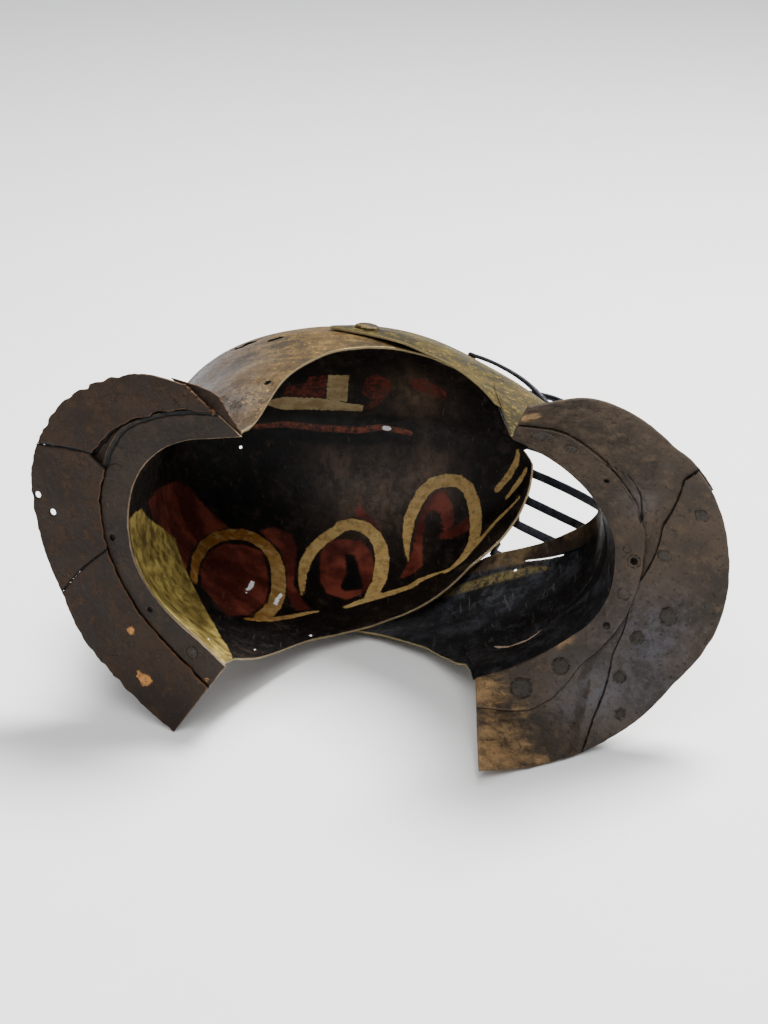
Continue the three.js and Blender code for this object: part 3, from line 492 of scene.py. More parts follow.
# Paint of the inside, laid out on the shell by angle and height (phi, z). A stroke is a line
# with widths in mm; a field is a closed outline.
RING_STROKES = [
    ([(139, 111), (139.5, 126), (138.8, 156), (136, 187.6), (132.2, 208), (127.7, 219), (122.7, 225.8),
     (117.8, 226.9), (112.7, 224), (108.8, 216), (106.7, 204.5), (106, 188), (106.3, 170), (107.2, 150),
     (109.7, 130), (112, 115)], [8, 10, 12, 12.5, 11.5]),
    ([(117.2, 100), (112.4, 109.7), (107.5, 120.4), (102.1, 133.7), (97.4, 145.2), (93.4, 152.6)],
     [3, 6, 6, 5, 2.5]),
    ([(98.1, 174), (98.3, 188), (98.2, 205), (97.6, 218), (95.7, 230), (91.9, 241), (88, 248.8),
     (86.4, 252.8), (82.7, 254.2), (79.2, 251.5), (77, 245), (76, 235.6), (75.6, 224.7), (75.9, 210.8),
     (76.3, 197), (77.3, 188.6), (78, 176)], [3, 9, 10, 11, 11.5, 12, 11]),
    ([(85.5, 161.5), (80.2, 170.5), (75.3, 176.5), (70.3, 180.7), (65.7, 184), (63.5, 190), (59.8, 192.8),
     (54.7, 192.7)], [4, 8, 8, 7, 5, 3]),
    ([(68.3, 217.5), (68.2, 231.6), (66.6, 244.5), (63, 255.4), (57.4, 262.9), (49.8, 268.7),
     (42.1, 270.6), (35.6, 269), (31.7, 265.3), (32.8, 259.6), (37.2, 251.6), (41.9, 241.8), (44.5, 227),
     (46.2, 213.4), (48.8, 202.2), (51.8, 194.2), (54.4, 189.8)], [2.5, 9, 10.5, 11, 11, 11, 9, 4]),
    ([(47.2, 206.3), (41.5, 218.5), (36, 225.9), (30.7, 228.8), (25.7, 229.8), (21.3, 230.1)],
     [5, 4, 3.5, 3, 2.5]),
    ([(0.2, 250.3), (7.3, 249), (15.5, 249), (25.2, 249)], [3, 6, 6, 5]),
    ([(8.7, 242), (15.4, 241.6), (20.7, 241.8), (26.8, 240.7)], [3, 5, 4, 2.5])]
RED_FIELDS = [
    [(136.6, 138), (134, 182), (128.2, 207), (120.6, 216.5), (113.3, 217.3), (110.4, 201), (109.4, 176.6),
     (110.8, 144.3), (116.4, 109), (122.8, 93), (128.7, 104.5), (135, 112.8)],
    [(177.4, 89.8), (175.8, 122.6), (161.6, 214), (153.3, 226.5), (137, 226.4), (129.6, 224.9),
     (137, 200), (142, 163), (143.3, 110.9), (151.2, 142.3), (169.2, 98.4)],
    [(117.2, 235.7), (112, 242.9), (103.9, 240), (101.1, 229.3), (100.9, 212.5), (101, 188),
     (98.4, 167.6), (95.3, 154.2), (100.5, 146.9), (103.2, 170.8), (103.5, 203.2), (106.9, 224.3),
     (112.9, 231.3)],
    [(92.8, 225.9), (91.3, 238.3), (87.2, 241.8), (81.2, 240.5), (78.6, 230), (77.7, 209.5),
     (78.8, 191.4), (81.5, 180.2), (85.3, 172.8), (90.7, 182), (92.6, 199)],
    [(76.9, 276.3), (79, 266.5), (76, 258.6), (74.5, 250.9), (73.9, 243.9), (75.6, 251.1), (79.1, 257.7),
     (81.7, 260.1)],
    [(41.2, 265.2), (45.4, 254.6), (49.7, 244.6), (54.7, 237.5), (44.3, 244.3), (46.3, 232.8),
     (53.1, 229.5), (57.5, 233.2), (51.5, 253.4), (53.5, 257.3), (58, 253.1), (63, 236.8), (63.4, 209.4),
     (66.2, 201.6), (70.2, 198.2), (68.1, 216.5), (66.3, 229.2), (63.4, 247.5), (55.3, 260.8),
     (46.8, 266.1)]]
BLACK_FIELD = [(86, 228.7), (83.2, 228.8), (81.4, 204.4), (80.7, 189.6), (86.3, 185.3), (87.2, 194.2),
               (85.5, 210.2)]
OLIVE_FIELD = [(178.2, 35), (177, 73.4), (171.3, 86.6), (162.5, 114), (151.4, 145.2), (147.2, 125.3),
               (141.3, 108.9), (133.1, 90.2), (126, 67.7), (120.5, 36), (119.6, -4.9), (123.1, -30),
               (130.7, -30), (138.9, -30), (145.8, -30), (152.1, -20), (159.6, 0), (169.2, 20)]
OLIVE_GLINT = ([(153.5, 22.1), (150.2, 11.4), (146.2, 4.4), (142.5, -2.0), (138.8, -8.4)], [2, 4, 4, 2])
CREAM_FIELDS = [
    [(-98.2, 281.5), (-85.2, 280.9), (-77.8, 290.8), (-106.4, 290.4)],
    [(-157.7, 280.9), (-147.4, 283.9), (-107.6, 290.4), (-77.1, 291), (-55.9, 290.6), (-43.7, 291.5),
     (-100, 292.4), (-163.1, 287.5), (-162, 282.2)]]
CROWN_RED_FIELDS = [
    [(-112.7, 281.2), (-98.8, 281.5), (-107.1, 290.2), (-146.3, 284.2), (-134.6, 281.8), (-118.6, 283.9)],
    [(-71.3, 287.4), (-75.9, 280.5), (-72.7, 277.3), (-63.7, 279.1), (-56, 283.4), (-48.1, 288.1),
     (-42.2, 290.9), (-51.6, 290.7), (-55.2, 288.6), (-67.6, 288.2)],
    [(-57, 275.5), (-55.4, 270), (-40.8, 269.6), (-32.7, 273.7), (-47, 278.4)]]
# The keel along the inside of the crown: a red brown painted highlight runs along it.
RIDGE_HIGHLIGHT_STROKE = ([(175.1, 279.7), (173.7, 288.2), (150, 292.2), (30, 292.2), (3.5, 290.6), (5.5, 286.6)],
                [4.5, 6, 6, 5])
CHIPS_AND_GLINT = [
    ([(115.2, 175), (116.3, 163), (117, 157)], [2.6]),
    ([(117.6, 152), (117.7, 151)], [2]),
    ([(105.4, 169), (106.4, 160), (107.2, 149)], [2.2]),
    # Painted highlight: a white spot on the ridge of the crown.
    ([(4.2, 290.2), (3.8, 289.8)], [3.2]),
    ([(129.1, 5.3), (129.2, 4)], [2.4]),
    ([(96.2, 105), (96, 104)], [2]),
    ([(94.5, 91.8), (94.1, 90)], [2.6]),
    ([(111.8, 54.5), (111.9, 53)], [1.8])]
# Soft spots as angle, height and reach in mm: a haze of scuffed paint, and at angle 10 a painted highlight
# beside the ridge.
HAZE_AND_HIGHLIGHT_SPOTS = [(72, 272, 42), (40, 275, 30), (-45, 280, 26), (10, 286, 16), (85, 285, 24)]
SKULL_HOLES = [
    ([(-124.1, 170.3), (-122.6, 177.5)], 3.2),
    ([(-120.6, 172.3), (-126.5, 173)], 2.8),
    ([(-114.6, 153.1), (-111.8, 153.6)], 3.0),
    ([(-114.4, 43.3), (-114.3, 44)], 2.2),
    ([(160.7, 272), (160.5, 272.3)], 1.4)]


def on_skull(pairs):
    return skull_point(*np.array(pairs, float).T)


def inside(x, y, outline):
    """Even-odd test of points against a closed outline."""
    odd = np.zeros(np.shape(x), bool)
    for (xa, ya), (xb, yb) in zip(outline, np.roll(outline, -1, 0)):
        crosses = (ya > y) != (yb > y)
        with np.errstate(divide="ignore", invalid="ignore"):
            odd ^= crosses & (x < (xb - xa) * (y - ya) / (yb - ya) + xa)
    return odd


def fields(points, flat, outlines, flatten=lambda outline: np.array(outline, float)):
    """Distance in mm to the nearest of some outlines on the skull, negative inside. Whether a
    point is inside is tested in two flat coordinates, into which an outline can be flattened."""
    near = []
    for outline in outlines:
        ring = on_skull(outline + outline[:1])
        distance = segment_distance(points, ring)[0]
        near.append(np.where(inside(flat[..., 0], flat[..., 1], flatten(outline)), -distance, distance))
    return np.min(near, 0)


def strokes(points, place_on, rows):
    """Distance in mm to the nearest of some strokes, each a line and its widths."""
    near = []
    for line, widths in rows:
        distance, place = segment_distance(points, place_on(line))
        share = place / max(len(line) - 1, 1)
        near.append(distance - np.interp(share, np.linspace(0, 1, len(widths)), widths) / 2)
    return np.min(near, 0)


SKULL_COLUMNS, SKULL_ROWS = 270, 118
RIM_JAG_MM = 0.45
DEEP_OCHRE_PHI, DEEP_OCHRE_BELOW_Z = (92, 122), 235
COLD_BACK_X, COLD_BELOW_Y = (40, 140), 60
phi = np.linspace(-180, 180, SKULL_COLUMNS, endpoint=False)
turned = np.where(phi < 0, phi + 360, phi)
nape_foot = wall_foot("back", neck_s("back", turned), BACK_WALL_LIFT)[:, 2]
rim_z = smooth(SKULL_RIM, "phi", np.minimum(np.abs(phi), NAPE_LEFT_PHI), "z")
on_nape = (turned > NAPE_LEFT_PHI) & (turned < NAPE_RIGHT_PHI)
along_rim = np.stack([phi, 0 * phi, 0 * phi], -1)
jag = bumps(along_rim, 4.3, 3) + bumps(along_rim, 11.0, 8)
foot_z = np.where(on_nape, nape_foot, rim_z + RIM_JAG_MM * (1 + jag))
dome = DOME_TOP - DOME_BASE
turn_end = np.arccos(np.clip((foot_z - DOME_BASE) / dome, 0, 1))
wall = np.maximum(DOME_BASE - foot_z, 0)
run = spaced(SKULL_ROWS, 0.002, start=False)[:, None] * (turn_end * dome + wall)[None, :]
height = np.where(run <= turn_end * dome, DOME_BASE + dome * np.cos(run / dome),
                  DOME_BASE - (run - turn_end * dome))
skull_grid = skull_point(phi[None, :], np.minimum(height, DOME_TOP - 1e-6))
skull_grid[0] = [0, 0, DOME_TOP + KEEL_HEIGHT]
phi_grid = np.broadcast_to(turned[None, :], height.shape)
wall_flat = np.stack([phi_grid, height], -1)


def crown_fields(outlines):
    """Fields of the crown are tested seen from above, and end at the foot of the dome."""
    distance = fields(skull_grid, skull_grid, outlines, lambda outline: on_skull(outline)[:, :2])
    return np.where(skull_grid[..., 2] > DOME_BASE, distance, FAR)


def fading(points, middle, reach):
    """A soft spot: 1 in its middle, fading over its reach in mm."""
    return np.exp(-(np.linalg.norm(points - middle, axis=-1) / reach) ** 2)


def behind(values):
    """Named values that only the second face of a sheet has."""
    return {name: (FAR + 0 * value, value) for name, value in values.items()}


skull_values = {
    "ochre": strokes(skull_grid, on_skull, RING_STROKES),
    "red": fields(skull_grid, wall_flat, RED_FIELDS),
    "black": fields(skull_grid, wall_flat, [BLACK_FIELD]),
    "olive": fields(skull_grid, wall_flat, [OLIVE_FIELD]),
    "cream": crown_fields(CREAM_FIELDS),
    "crown_red": crown_fields(CROWN_RED_FIELDS),
    "ridge_highlight": strokes(skull_grid, on_skull, [RIDGE_HIGHLIGHT_STROKE]),
    "glint": strokes(skull_grid, on_skull, [OLIVE_GLINT]),
    "chip_and_glint": strokes(skull_grid, on_skull, CHIPS_AND_GLINT),
    "haze_and_highlight": np.max([fading(skull_grid, skull_point(*at), reach) for *at, reach in HAZE_AND_HIGHLIGHT_SPOTS], 0),
    "pale": 1 - smoothstep(phi_grid, *DEEP_OCHRE_PHI) * (height < DEEP_OCHRE_BELOW_Z)}
cold_side = smoothstep(-skull_grid[..., 0], *COLD_BACK_X) * (skull_grid[..., 1] < COLD_BELOW_Y)
skull = sheet("skull_shell", skull_grid, SKULL_SHEET, wrap=True, pole=True,
              holes=[(on_skull(line), half) for line, half in SKULL_HOLES],
              depths={70: 1.2, 26: 0.45, 9: 0.12}, seed=11,
              extra={**behind(skull_values), "cold": (cold_side, 0 * cold_side)})

# Patinated iron, golden: thin oil and rust on beaten plate, ochre in the light, blue grey behind.
skull_outside = patinated_iron("patinated iron, golden", "#3b2f1c", "#5c4727", "#756036", "#ad8543",
                               metal=0.5, rough=(0.38, 0.6), speck_share=0.6, shine=0.15, cold="#666771",
                               cloud_mm=48, edge="#93815f", dust="#94825f", flecked=0.6)

# Oil-painted iron: old linseed paint and varnish, semi-gloss, scuffed through to the black ground.
PAINT_PATTERNS = {
    "brush": (9, 7, 0.65, (0.5, 1, 1), 0.4), "worn": (4.5, 8, 0.72), "soft": (30, 6, 0.6),
    "scratches": (2.4, 4, 0.5, (1, 0.1, 0.35), 0.9), "sweeps": (12, 9, 0.74, (1, 0.45, 0.7), 0.7),
    "scuffs": (14, 9, 0.72), "mottle": (6, 9, 0.74), "rubs": (16, 9, 0.72)}


def painted(paint, under, over, name, wear_low, wear_high, blur=0.5, strength=1.0, fray=4.2):
    """One colour of paint where its named distance is below zero, worn through by noise."""
    return paint.coat(under, over, paint.share(name, blur, -blur, by="worn", fray=fray),
                      paint.share("worn", wear_low, wear_high, least=0.15), strength)


paint = Surface("oil-painted iron", PAINT_PATTERNS)
base = paint.coat("#040303", "#130d0a", paint.share("soft", 0.35, 0.7))
clouded = {0: paint.share("soft", 0.3, 0.6, 0.5, 0.1), 1: paint.share("sweeps", 0.44, 0.6, 0.5)}
clouded = add(paint.tree, "ShaderNodeMath", clouded, operation="ADD").outputs[0]
# Brown grey haze of scuffed paint, and a painted highlight beside the ridge.
base = paint.coat(base, "#5f4c3e", paint.value("haze_and_highlight"), clouded)
base = paint.coat(base, "#3b2f27", paint.share("scuffs", 0.5, 0.66, 0.55))
# Painted shade: near black on both sides of the ridge highlight.
base = paint.coat(base, "#050404", paint.share("ridge_highlight", 14, 7, 0.8))
red = paint.coat("#461a13", "#7b3a2c", paint.share("soft", 0.4, 0.65))
base = painted(paint, base, red, "red", 0.3, 0.42, blur=1.2, strength=0.9)
base = painted(paint, base, "#080606", "black", 0.2, 0.3, blur=1.5)
base = painted(paint, base, "#632a20", "crown_red", 0.44, 0.56, blur=0.8)
cream = paint.coat("#8d7750", "#a8946c", paint.share("brush", 0.4, 0.6))
base = painted(paint, base, cream, "cream", 0.3, 0.42)
# Painted highlight: a red brown strip along the keel.
base = painted(paint, base, "#8a4a35", "ridge_highlight", 0.42, 0.56, blur=0.8)
olive = paint.coat("#5f5127", "#ad9751", paint.share("brush", 0.36, 0.62))
olive = paint.coat(olive, "#3c2c10", paint.share("soft", 0.42, 0.6, 0.5))
olive = paint.coat(olive, "#c9bd66", paint.share("glint", 2.5, -1.5, 0.8, by="worn", fray=4.2))
base = painted(paint, base, olive, "olive", 0.28, 0.4, blur=1.0)
ochre = paint.coat("#84561f", "#b3935a", paint.value("pale"))
ochre = paint.coat(ochre, "#cbb077", paint.share("brush", 0.5, 0.62, 0.35))
ochre = paint.coat(ochre, "#3d2810", paint.share("mottle", 0.46, 0.62, 0.45))
base = painted(paint, base, ochre, "ochre", 0.3, 0.42)
base = paint.coat(base, "#6a5a48", paint.share("scratches", 0.66, 0.72, 0.35))
# White chips of paint, and one painted highlight on the ridge.
base = paint.coat(base, "#ffffff", paint.share("chip_and_glint", 0.7, 0.3, by="worn", fray=3.36))
# Along the rims: paint worn through to iron, and a painted highlight.
base = paint.coat(base, "#6d6050", paint.share("rim", 0.4, -0.1, 0.6, by="worn", fray=2.6))
heights = [(0.5, paint.value("brush")), (0.35, paint.value("worn")), (0.15, paint.value("scratches"))]
gloss = paint.share("worn", 0.35, 0.65, least=0.36, most=0.6)
skull_inside = paint.finish(base, gloss, 0.0, heights, shine=0.25)

for material in (skull_outside, skull_inside):
    skull.data.materials.append(material)
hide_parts("skull")
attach(skull, "root")


# The front plate: one beaten plate that wraps the chin and both cheeks outside the skull, with
# an ear up each temple for the pivot rivet. Golden green outside, black oil paint inside.
PLATE_TOP = {"phi": [0, 20, 40, 60, 80, 90, 96.5], "z": [109, 149, 186, 192, 186, 174, 161]}
PLATE_ARCH = {"phi": [60.5, 64, 70, 80, 90, 96.5], "z": [28, 57, 89, 124, 143, 155]}
PLATE_NECK_PHI, EAR_END_PHI = 59.6, 96.5
PLATE_PLAY = 1.2
CHEEK = {"phi": 72, "z": 168, "push": 12, "span_phi": 13, "span_z": 32}
COLLAR_SHEET = 1.8
FRONT_WALL_LIFT = COLLAR_SHEET + SEAT_GAP


def plate_point(phi, z):
    phi, z = np.broadcast_arrays(np.asarray(phi, float), np.asarray(z, float))
    chest = np.clip(phi, -PLATE_NECK_PHI, PLATE_NECK_PHI)
    foot = wall_foot("front", neck_s("front", chest), FRONT_WALL_LIFT)

    def grown(a, h):
        p = outline_point(a, h, "plate")
        aside, above = (a - CHEEK["phi"]) / CHEEK["span_phi"], (h - CHEEK["z"]) / CHEEK["span_z"]
        push = PLATE_SHEET + SEAT_GAP + PLATE_PLAY + CHEEK["push"] * np.exp(-(aside ** 2) - above ** 2)
        return p + unit(level(p)) * push[..., None]

    fade = smoothstep(NECK_FADE_Z - z, 0, NECK_FADE_Z - foot[..., 2])
    return grown(phi, z) + level(foot - grown(chest, foot[..., 2])) * fade[..., None]


def on_plate(pairs):
    return plate_point(*np.array(pairs, float).T)


PLATE_COLUMNS, CHEEK_COLUMNS, PLATE_ROWS = 210, 38, 84
TOP_JAG_MM = 0.6
half_phi = np.concatenate([np.linspace(0, PLATE_NECK_PHI, PLATE_COLUMNS // 2 - CHEEK_COLUMNS),
                           np.linspace(PLATE_NECK_PHI + 0.45, EAR_END_PHI, CHEEK_COLUMNS)])
plate_phi = np.concatenate([-half_phi[::-1], half_phi[1:]])
over_chest = neck_s("front", np.clip(plate_phi, -PLATE_NECK_PHI, PLATE_NECK_PHI))
plate_foot = wall_foot("front", over_chest, FRONT_WALL_LIFT)[:, 2]
arch = np.interp(np.abs(plate_phi), PLATE_ARCH["phi"], PLATE_ARCH["z"])
plate_foot = np.where(np.abs(plate_phi) > PLATE_NECK_PHI, arch, plate_foot)
along_top = np.stack([plate_phi, 0 * plate_phi, 0 * plate_phi], -1)
plate_top = smooth(PLATE_TOP, "phi", np.abs(plate_phi), "z") + TOP_JAG_MM * (bumps(along_top, 4.6, 21) - 1)
share = spaced(PLATE_ROWS, 0.005)[:, None]
plate_height = plate_top[None, :] * (1 - share) + plate_foot[None, :] * share
plate_grid = plate_point(plate_phi[None, :], plate_height)
PLATE_LAP = [(-34, 60), (-20, 45), (-5.6, 31), (1.8, 35.5), (14.4, 42.7), (25.6, 47), (34.9, 39.6),
             (42.3, 33), (47.2, 36), (51.2, 52.6)]
LAP_STEP_MM, LAP_FADE_MM = 5, 70
over_lap = plate_height - np.interp(plate_phi, *np.array(PLATE_LAP).T)[None, :]
lap_ends = smoothstep(plate_phi, -34, -20) * (1 - smoothstep(plate_phi, 47, 54))
step = LAP_STEP_MM * smoothstep(over_lap, -0.5, 2.5) * (1 - smoothstep(over_lap, 3, LAP_FADE_MM)) * lap_ends
lap = segment_distance(plate_grid, on_plate(PLATE_LAP))[0]
lap = np.where(over_lap > 0, lap, -lap)
plate_grid = plate_grid + unit(level(plate_grid)) * step[..., None]
PLATE_STRIPE = ([(63, 174), (51.2, 164.7), (41, 155.4), (32.4, 141.6), (27.6, 128.8)], [6, 10, 10, 8, 3])
PLATE_SLIT = [(29.5, 150.6), (26.6, 142.4), (23.8, 134.6), (20.8, 127.2)]
PLATE_GROOVE = ([(-9, 31), (-4.9, 27.7), (1.1, 27.7), (8.8, 33.1), (16.8, 38.5), (23.2, 42.1),
                (29.5, 45.5), (33.2, 44.5), (36.2, 40.1)], [6, 10, 13, 13, 11, 9, 7, 5, 3])
PLATE_CREASES = [
    [(20.8, 127.2), (17.1, 118.5), (12.6, 108.8)],
    [(51.1, 56.8), (49.5, 70.9), (47.4, 71.2), (43.3, 77.9), (40.4, 80.6), (37.2, 79.2)],
    [(25.9, 131.8), (30.6, 119.8), (35.1, 106.7), (37.2, 88.5)]]
# The lit lip at the end of the lap and round the slot: pale lines of painted highlight.
PLATE_LIT_LIPS = [
    [(35.7, 40.8), (39.4, 33.8), (42.6, 30.4), (44.9, 32.1), (47.6, 35.4), (49.8, 42.5), (51.1, 52.2)],
    [(46.4, 45.8), (45.2, 50.8), (43.4, 50.8), (42.2, 48.3), (43.2, 42.0), (44.9, 39.5), (46.4, 45.8)]]
PLATE_BROWN = ([(50, 186), (32, 168), (22, 148), (12, 125), (3, 105), (-8, 102), (-20, 140)],
               [10, 20, 26, 22, 12, 20, 12])
PLATE_HOLES = [([(34.4, 150.6), (34.3, 150)], 1.4), ([(44.8, 46.5), (44, 50)], 1.6),
               (PLATE_SLIT, 0.75)]
CREASE_WIDTH, LIT_LIP_WIDTH = 2.0, 3.2
plate_values = {
    "ochre": strokes(plate_grid, on_plate, [PLATE_STRIPE]),
    "brown": strokes(plate_grid, on_plate, [PLATE_BROWN]),
    "groove": strokes(plate_grid, on_plate, [PLATE_GROOVE]),
    "crease": strokes(plate_grid, on_plate, [(line, [CREASE_WIDTH]) for line in PLATE_CREASES]),
    "lit_lip": strokes(plate_grid, on_plate, [(line, [LIT_LIP_WIDTH]) for line in PLATE_LIT_LIPS]),
    "lap": lap}
front_plate = sheet("front_plate_shell", plate_grid, PLATE_SHEET,
                    holes=[(on_plate(line), half) for line, half in PLATE_HOLES],
                    depths={60: 0.8, 24: 0.4, 9: 0.1}, seed=31,
                    extra={**behind(plate_values), "cold": (0 * lap, 0 * lap)})

# Patinated iron, green gold: varnish over thin rust on a plate that was once coloured.
plate_outside = patinated_iron("patinated iron, green gold", "#2d2711", "#51431b", "#5d5427", "#a1823e",
                               metal=0.5, rough=(0.38, 0.6), speck_share=0.59, shine=0.12, cloud_mm=40,
                               edge="#93835c", dust="#94855a", flecked=0.6)

# Black oil paint on iron: semi-gloss, with a worn ochre stripe and a brown bare strip at the top.
paint = Surface("black oil-painted iron", PAINT_PATTERNS)
base = paint.coat("#0b0b0c", "#1a1a1c", paint.share("soft", 0.35, 0.7))
base = paint.coat(base, "#34353a", paint.share("rubs", 0.48, 0.62, 0.6))
brown = paint.coat("#2b2018", "#5d4c33", paint.share("soft", 0.4, 0.6))
base = painted(paint, base, brown, "brown", 0.3, 0.5, blur=3.0, strength=0.85, fray=4.0)
base = painted(paint, base, "#625532", "ochre", 0.42, 0.56, blur=2.0, strength=0.75, fray=4.0)
base = paint.coat(base, "#565350", paint.share("scratches", 0.64, 0.7, 0.4))
# Painted shade: near black in the groove under the lap, with a shallow bump and duller gloss.
groove_shade = paint.share("groove", 0.9, -0.9, by="worn", fray=1.2)
base = paint.coat(base, "#010101", groove_shade)
# Painted highlight: a light grey line along the lit edge of the strip below the lap.
base = paint.coat(base, "#6d6a66", paint.share("lap", -2.4, -1.2, by="worn", fray=1.2),
                  paint.share("lap", -0.2, -0.8, by="worn", fray=1.2), paint.share("worn", 0.46, 0.58, 0.6))
creased = paint.share("crease", 0.5, -0.2, by="worn", fray=0.8)
base = paint.coat(base, "#020202", creased)
# Painted highlight on the lit lips.
base = paint.coat(base, "#b89a82", paint.share("lit_lip", 0.5, -0.2, by="worn", fray=1.4))
# Along the rims: paint worn through to iron, and a painted highlight.
base = paint.coat(base, "#6d6050", paint.share("rim", 0.4, -0.1, 0.7, by="worn", fray=2.6))
gloss = {0: groove_shade, 1: 0.4, 2: paint.share("worn", 0.35, 0.65, least=0.38, most=0.6)}
gloss = add(paint.tree, "ShaderNodeMath", gloss, operation="MULTIPLY_ADD", use_clamp=True).outputs[0]
heights = [(0.5, paint.value("brush")), (0.3, paint.value("worn")), (-0.3, groove_shade), (-0.4, creased)]
plate_inside = paint.finish(base, gloss, 0.0, heights, shine=0.2)

for material in (plate_outside, plate_inside):
    front_plate.data.materials.append(material)
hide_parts("front_plate")
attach(front_plate, "root")


# The collars: bands and plates of iron, lapped and riveted edge to edge, chest in front and
# nape behind. Each is a flat or gently bent sheet, cut by hand, with ragged edges and cracks.
LAYER_GAP = 0.4
LIFT_SIDE = COLLAR_SHEET + LAYER_GAP
LIFT_UNDER = 2 * (COLLAR_SHEET + LAYER_GAP) + 0.6
BACK_BAND_LIFT = NAPE_SHEET + SEAT_GAP
PLATE_IN_T = 0.07
CRACK_HALF_S = 0.0003
SEAMS = {
    "front_band": {"s": [0, 0.1, 0.237, 0.373, 0.469, 0.567, 0.688, 0.762, 0.81, 0.848, 0.894, 0.938, 1],
                   "t": [0.42, 0.4, 0.35, 0.31, 0.25, 0.22, 0.25, 0.28, 0.37, 0.43, 0.46, 0.41, 0.32]},
    "back_band": {"s": [0, 0.167, 0.256, 0.36, 0.5, 0.713, 0.833, 1],
                  "t": [0.42, 0.37, 0.38, 0.31, 0.29, 0.26, 0.28, 0.33]},
    "upper_side": {"t": [0.07, 0.2, 0.25, 0.46, 0.83, 1], "s": [0.545, 0.53, 0.515, 0.394, 0.312, 0.302]},
    "side_lower": {"t": [0.07, 0.22, 0.38, 0.76, 1], "s": [0.575, 0.592, 0.694, 0.795, 0.837]},
    "underlap": {"t": [0.07, 0.25, 0.46, 1], "s": [-0.008, 0.015, 0.035, 0.04]},
    "nape_upper": {"t": [0.28, 0.5, 0.74, 1], "s": [0.372, 0.346, 0.356, 0.369]},
    "nape_lower": {"t": [0.24, 0.35, 1], "s": [0.574, 0.588, 0.662]},
    "nape_upper_in": {"s": [0, 0.06, 0.177, 0.25, 0.34, 0.37], "t": [0.45, 0.46, 0.42, 0.45, 0.47, 0.5]}}

# Each node's collar, its place along and across it, and its radius and lift in mm.
RIVETS = {
    "chest_band_rivet_1": ("front", 0.062, 0.28, 7.5, 0),
    "chest_band_rivet_2": ("front", 0.135, 0.26, 4.5, 0),
    "chest_band_rivet_3": ("front", 0.794, 0.19, 5.5, 0),
    "chest_band_rivet_4": ("front", 0.894, 0.23, 7.5, 0),
    "chest_seam_rivet_1": ("front", 0.377, 0.83, 4.5, LIFT_SIDE),
    "chest_seam_rivet_2": ("front", 0.454, 0.43, 4.5, LIFT_SIDE),
    "chest_seam_rivet_3": ("front", 0.717, 0.58, 4, LIFT_SIDE),
    "chest_seam_rivet_4": ("front", 0.757, 0.86, 3.5, LIFT_SIDE),
    "chest_side_rivet_1": ("front", 0.573, 0.56, 6, LIFT_SIDE),
    "chest_side_rivet_2": ("front", 0.637, 0.43, 4.5, LIFT_SIDE),
    "nape_band_rivet": ("back", 0.91, 0.15, 4, BACK_BAND_LIFT)}

# What marks the collars, by place along and across them: stains with their reach in mm and
# strength, cracks, shadows under the lapped edges with their half width, and scratched rings.
STAINS = {
    "front": {"cold": [(0.63, 0.55, 38, 0.9), (0.76, 0.58, 26, 1.0), (0.81, 0.5, 18, 0.7),
                       (0.7, 0.85, 30, 0.7), (0.325, 0.37, 14, 0.5)],
              "rust": [(0.98, 0.17, 16, 0.9), (0.985, 0.8, 34, 0.9), (0.9, 0.97, 12, 0.5),
                       (0.005, 0.65, 10, 1.0), (0.75, 0.0, 9, 0.6), (0.91, 0.44, 9, 0.5)]},
    "back": {"cold": [],
             "rust": [(0.887, 0.742, 6, 1.6), (0.875, 0.75, 4, 1.5), (0.784, 0.454, 4.5, 1.3),
                      (0.99, 0.3, 12, 0.35)]}}
CRACKS = {"front": [[(0.188, 0.323), (0.23, 0.37), (0.267, 0.426), (0.313, 0.4), (0.34, 0.35),
                     (0.365, 0.305)],
                    [(0.239, 0.338), (0.3, 0.318), (0.375, 0.291)],
                    [(0.404, 0.575), (0.401, 0.535)]],
          "back": [[(0.362, 0.31), (0.349, 0.243), (0.349, 0.171)], [(0.075, 0.5), (0.07, 0.62)]]}
SEAM_SHADOWS = {
    "chest_upper_sheet": [("upper_side", "t", 0.7)],
    "chest_lower_sheet": [("side_lower", "t", 0.35)],
    "nape_upper_sheet": [("nape_upper", "t", 0.6)],
    "nape_middle_sheet": [("nape_upper", "t", 0.5), ("nape_lower", "t", 0.3)],
    "nape_lower_sheet": [("nape_lower", "t", 0.4)],
    "nape_band_sheet": [("nape_upper_in", "s", 1.2), ("back_band", "s", 0.9)],
    "nape_backing_sheet": [("nape_upper_in", "s", 1.6)]}
SCRATCHED_RINGS = [("front", 0.373, 0.37, 5.5), ("front", 0.471, 0.165, 5), ("front", 0.442, 0.107, 3),
                   ("front", 0.56, 0.12, 4.5)]
RIVET_RING_GAP, RING_THINNER = 0.5, 0.25
RINGS = SCRATCHED_RINGS + [(*at, radius + RIVET_RING_GAP) for *at, radius, _ in RIVETS.values()]


def torn(v, ragged, seed, coarse, fine, fine_part):
    """How far a hand-cut edge strays along its run."""
    if not ragged:
        return 0 * v
    along = np.stack([v * 60, 0 * v, 0 * v], -1)
    return ragged * (bumps(along, coarse, seed) + fine_part * bumps(along, fine, seed + 3))


def seam(name, key, shift=0.0, ragged=0.0, seed=0):
    """A seam as a function of the other direction, with a ragged shear."""
    at, to = SEAMS[name][key], SEAMS[name]["s" if key == "t" else "t"]
    return lambda v: np.interp(v, at, to) + shift + torn(v, ragged, seed, 1.9, 0.9, 0.4)


def straight(value, ragged=0.0, seed=0):
    """An edge or a height that stays the same, but for what is torn off it."""
    return lambda v: value - np.abs(torn(v, ragged, seed, 2.3, 1.0, 0.5))


def dip(low, high):
    """The height of a plate that dives under its neighbour between two shares of its length."""
    return lambda u: LIFT_SIDE + (LIFT_UNDER - LIFT_SIDE) * np.clip((u - low) / (high - low), 0, 1)


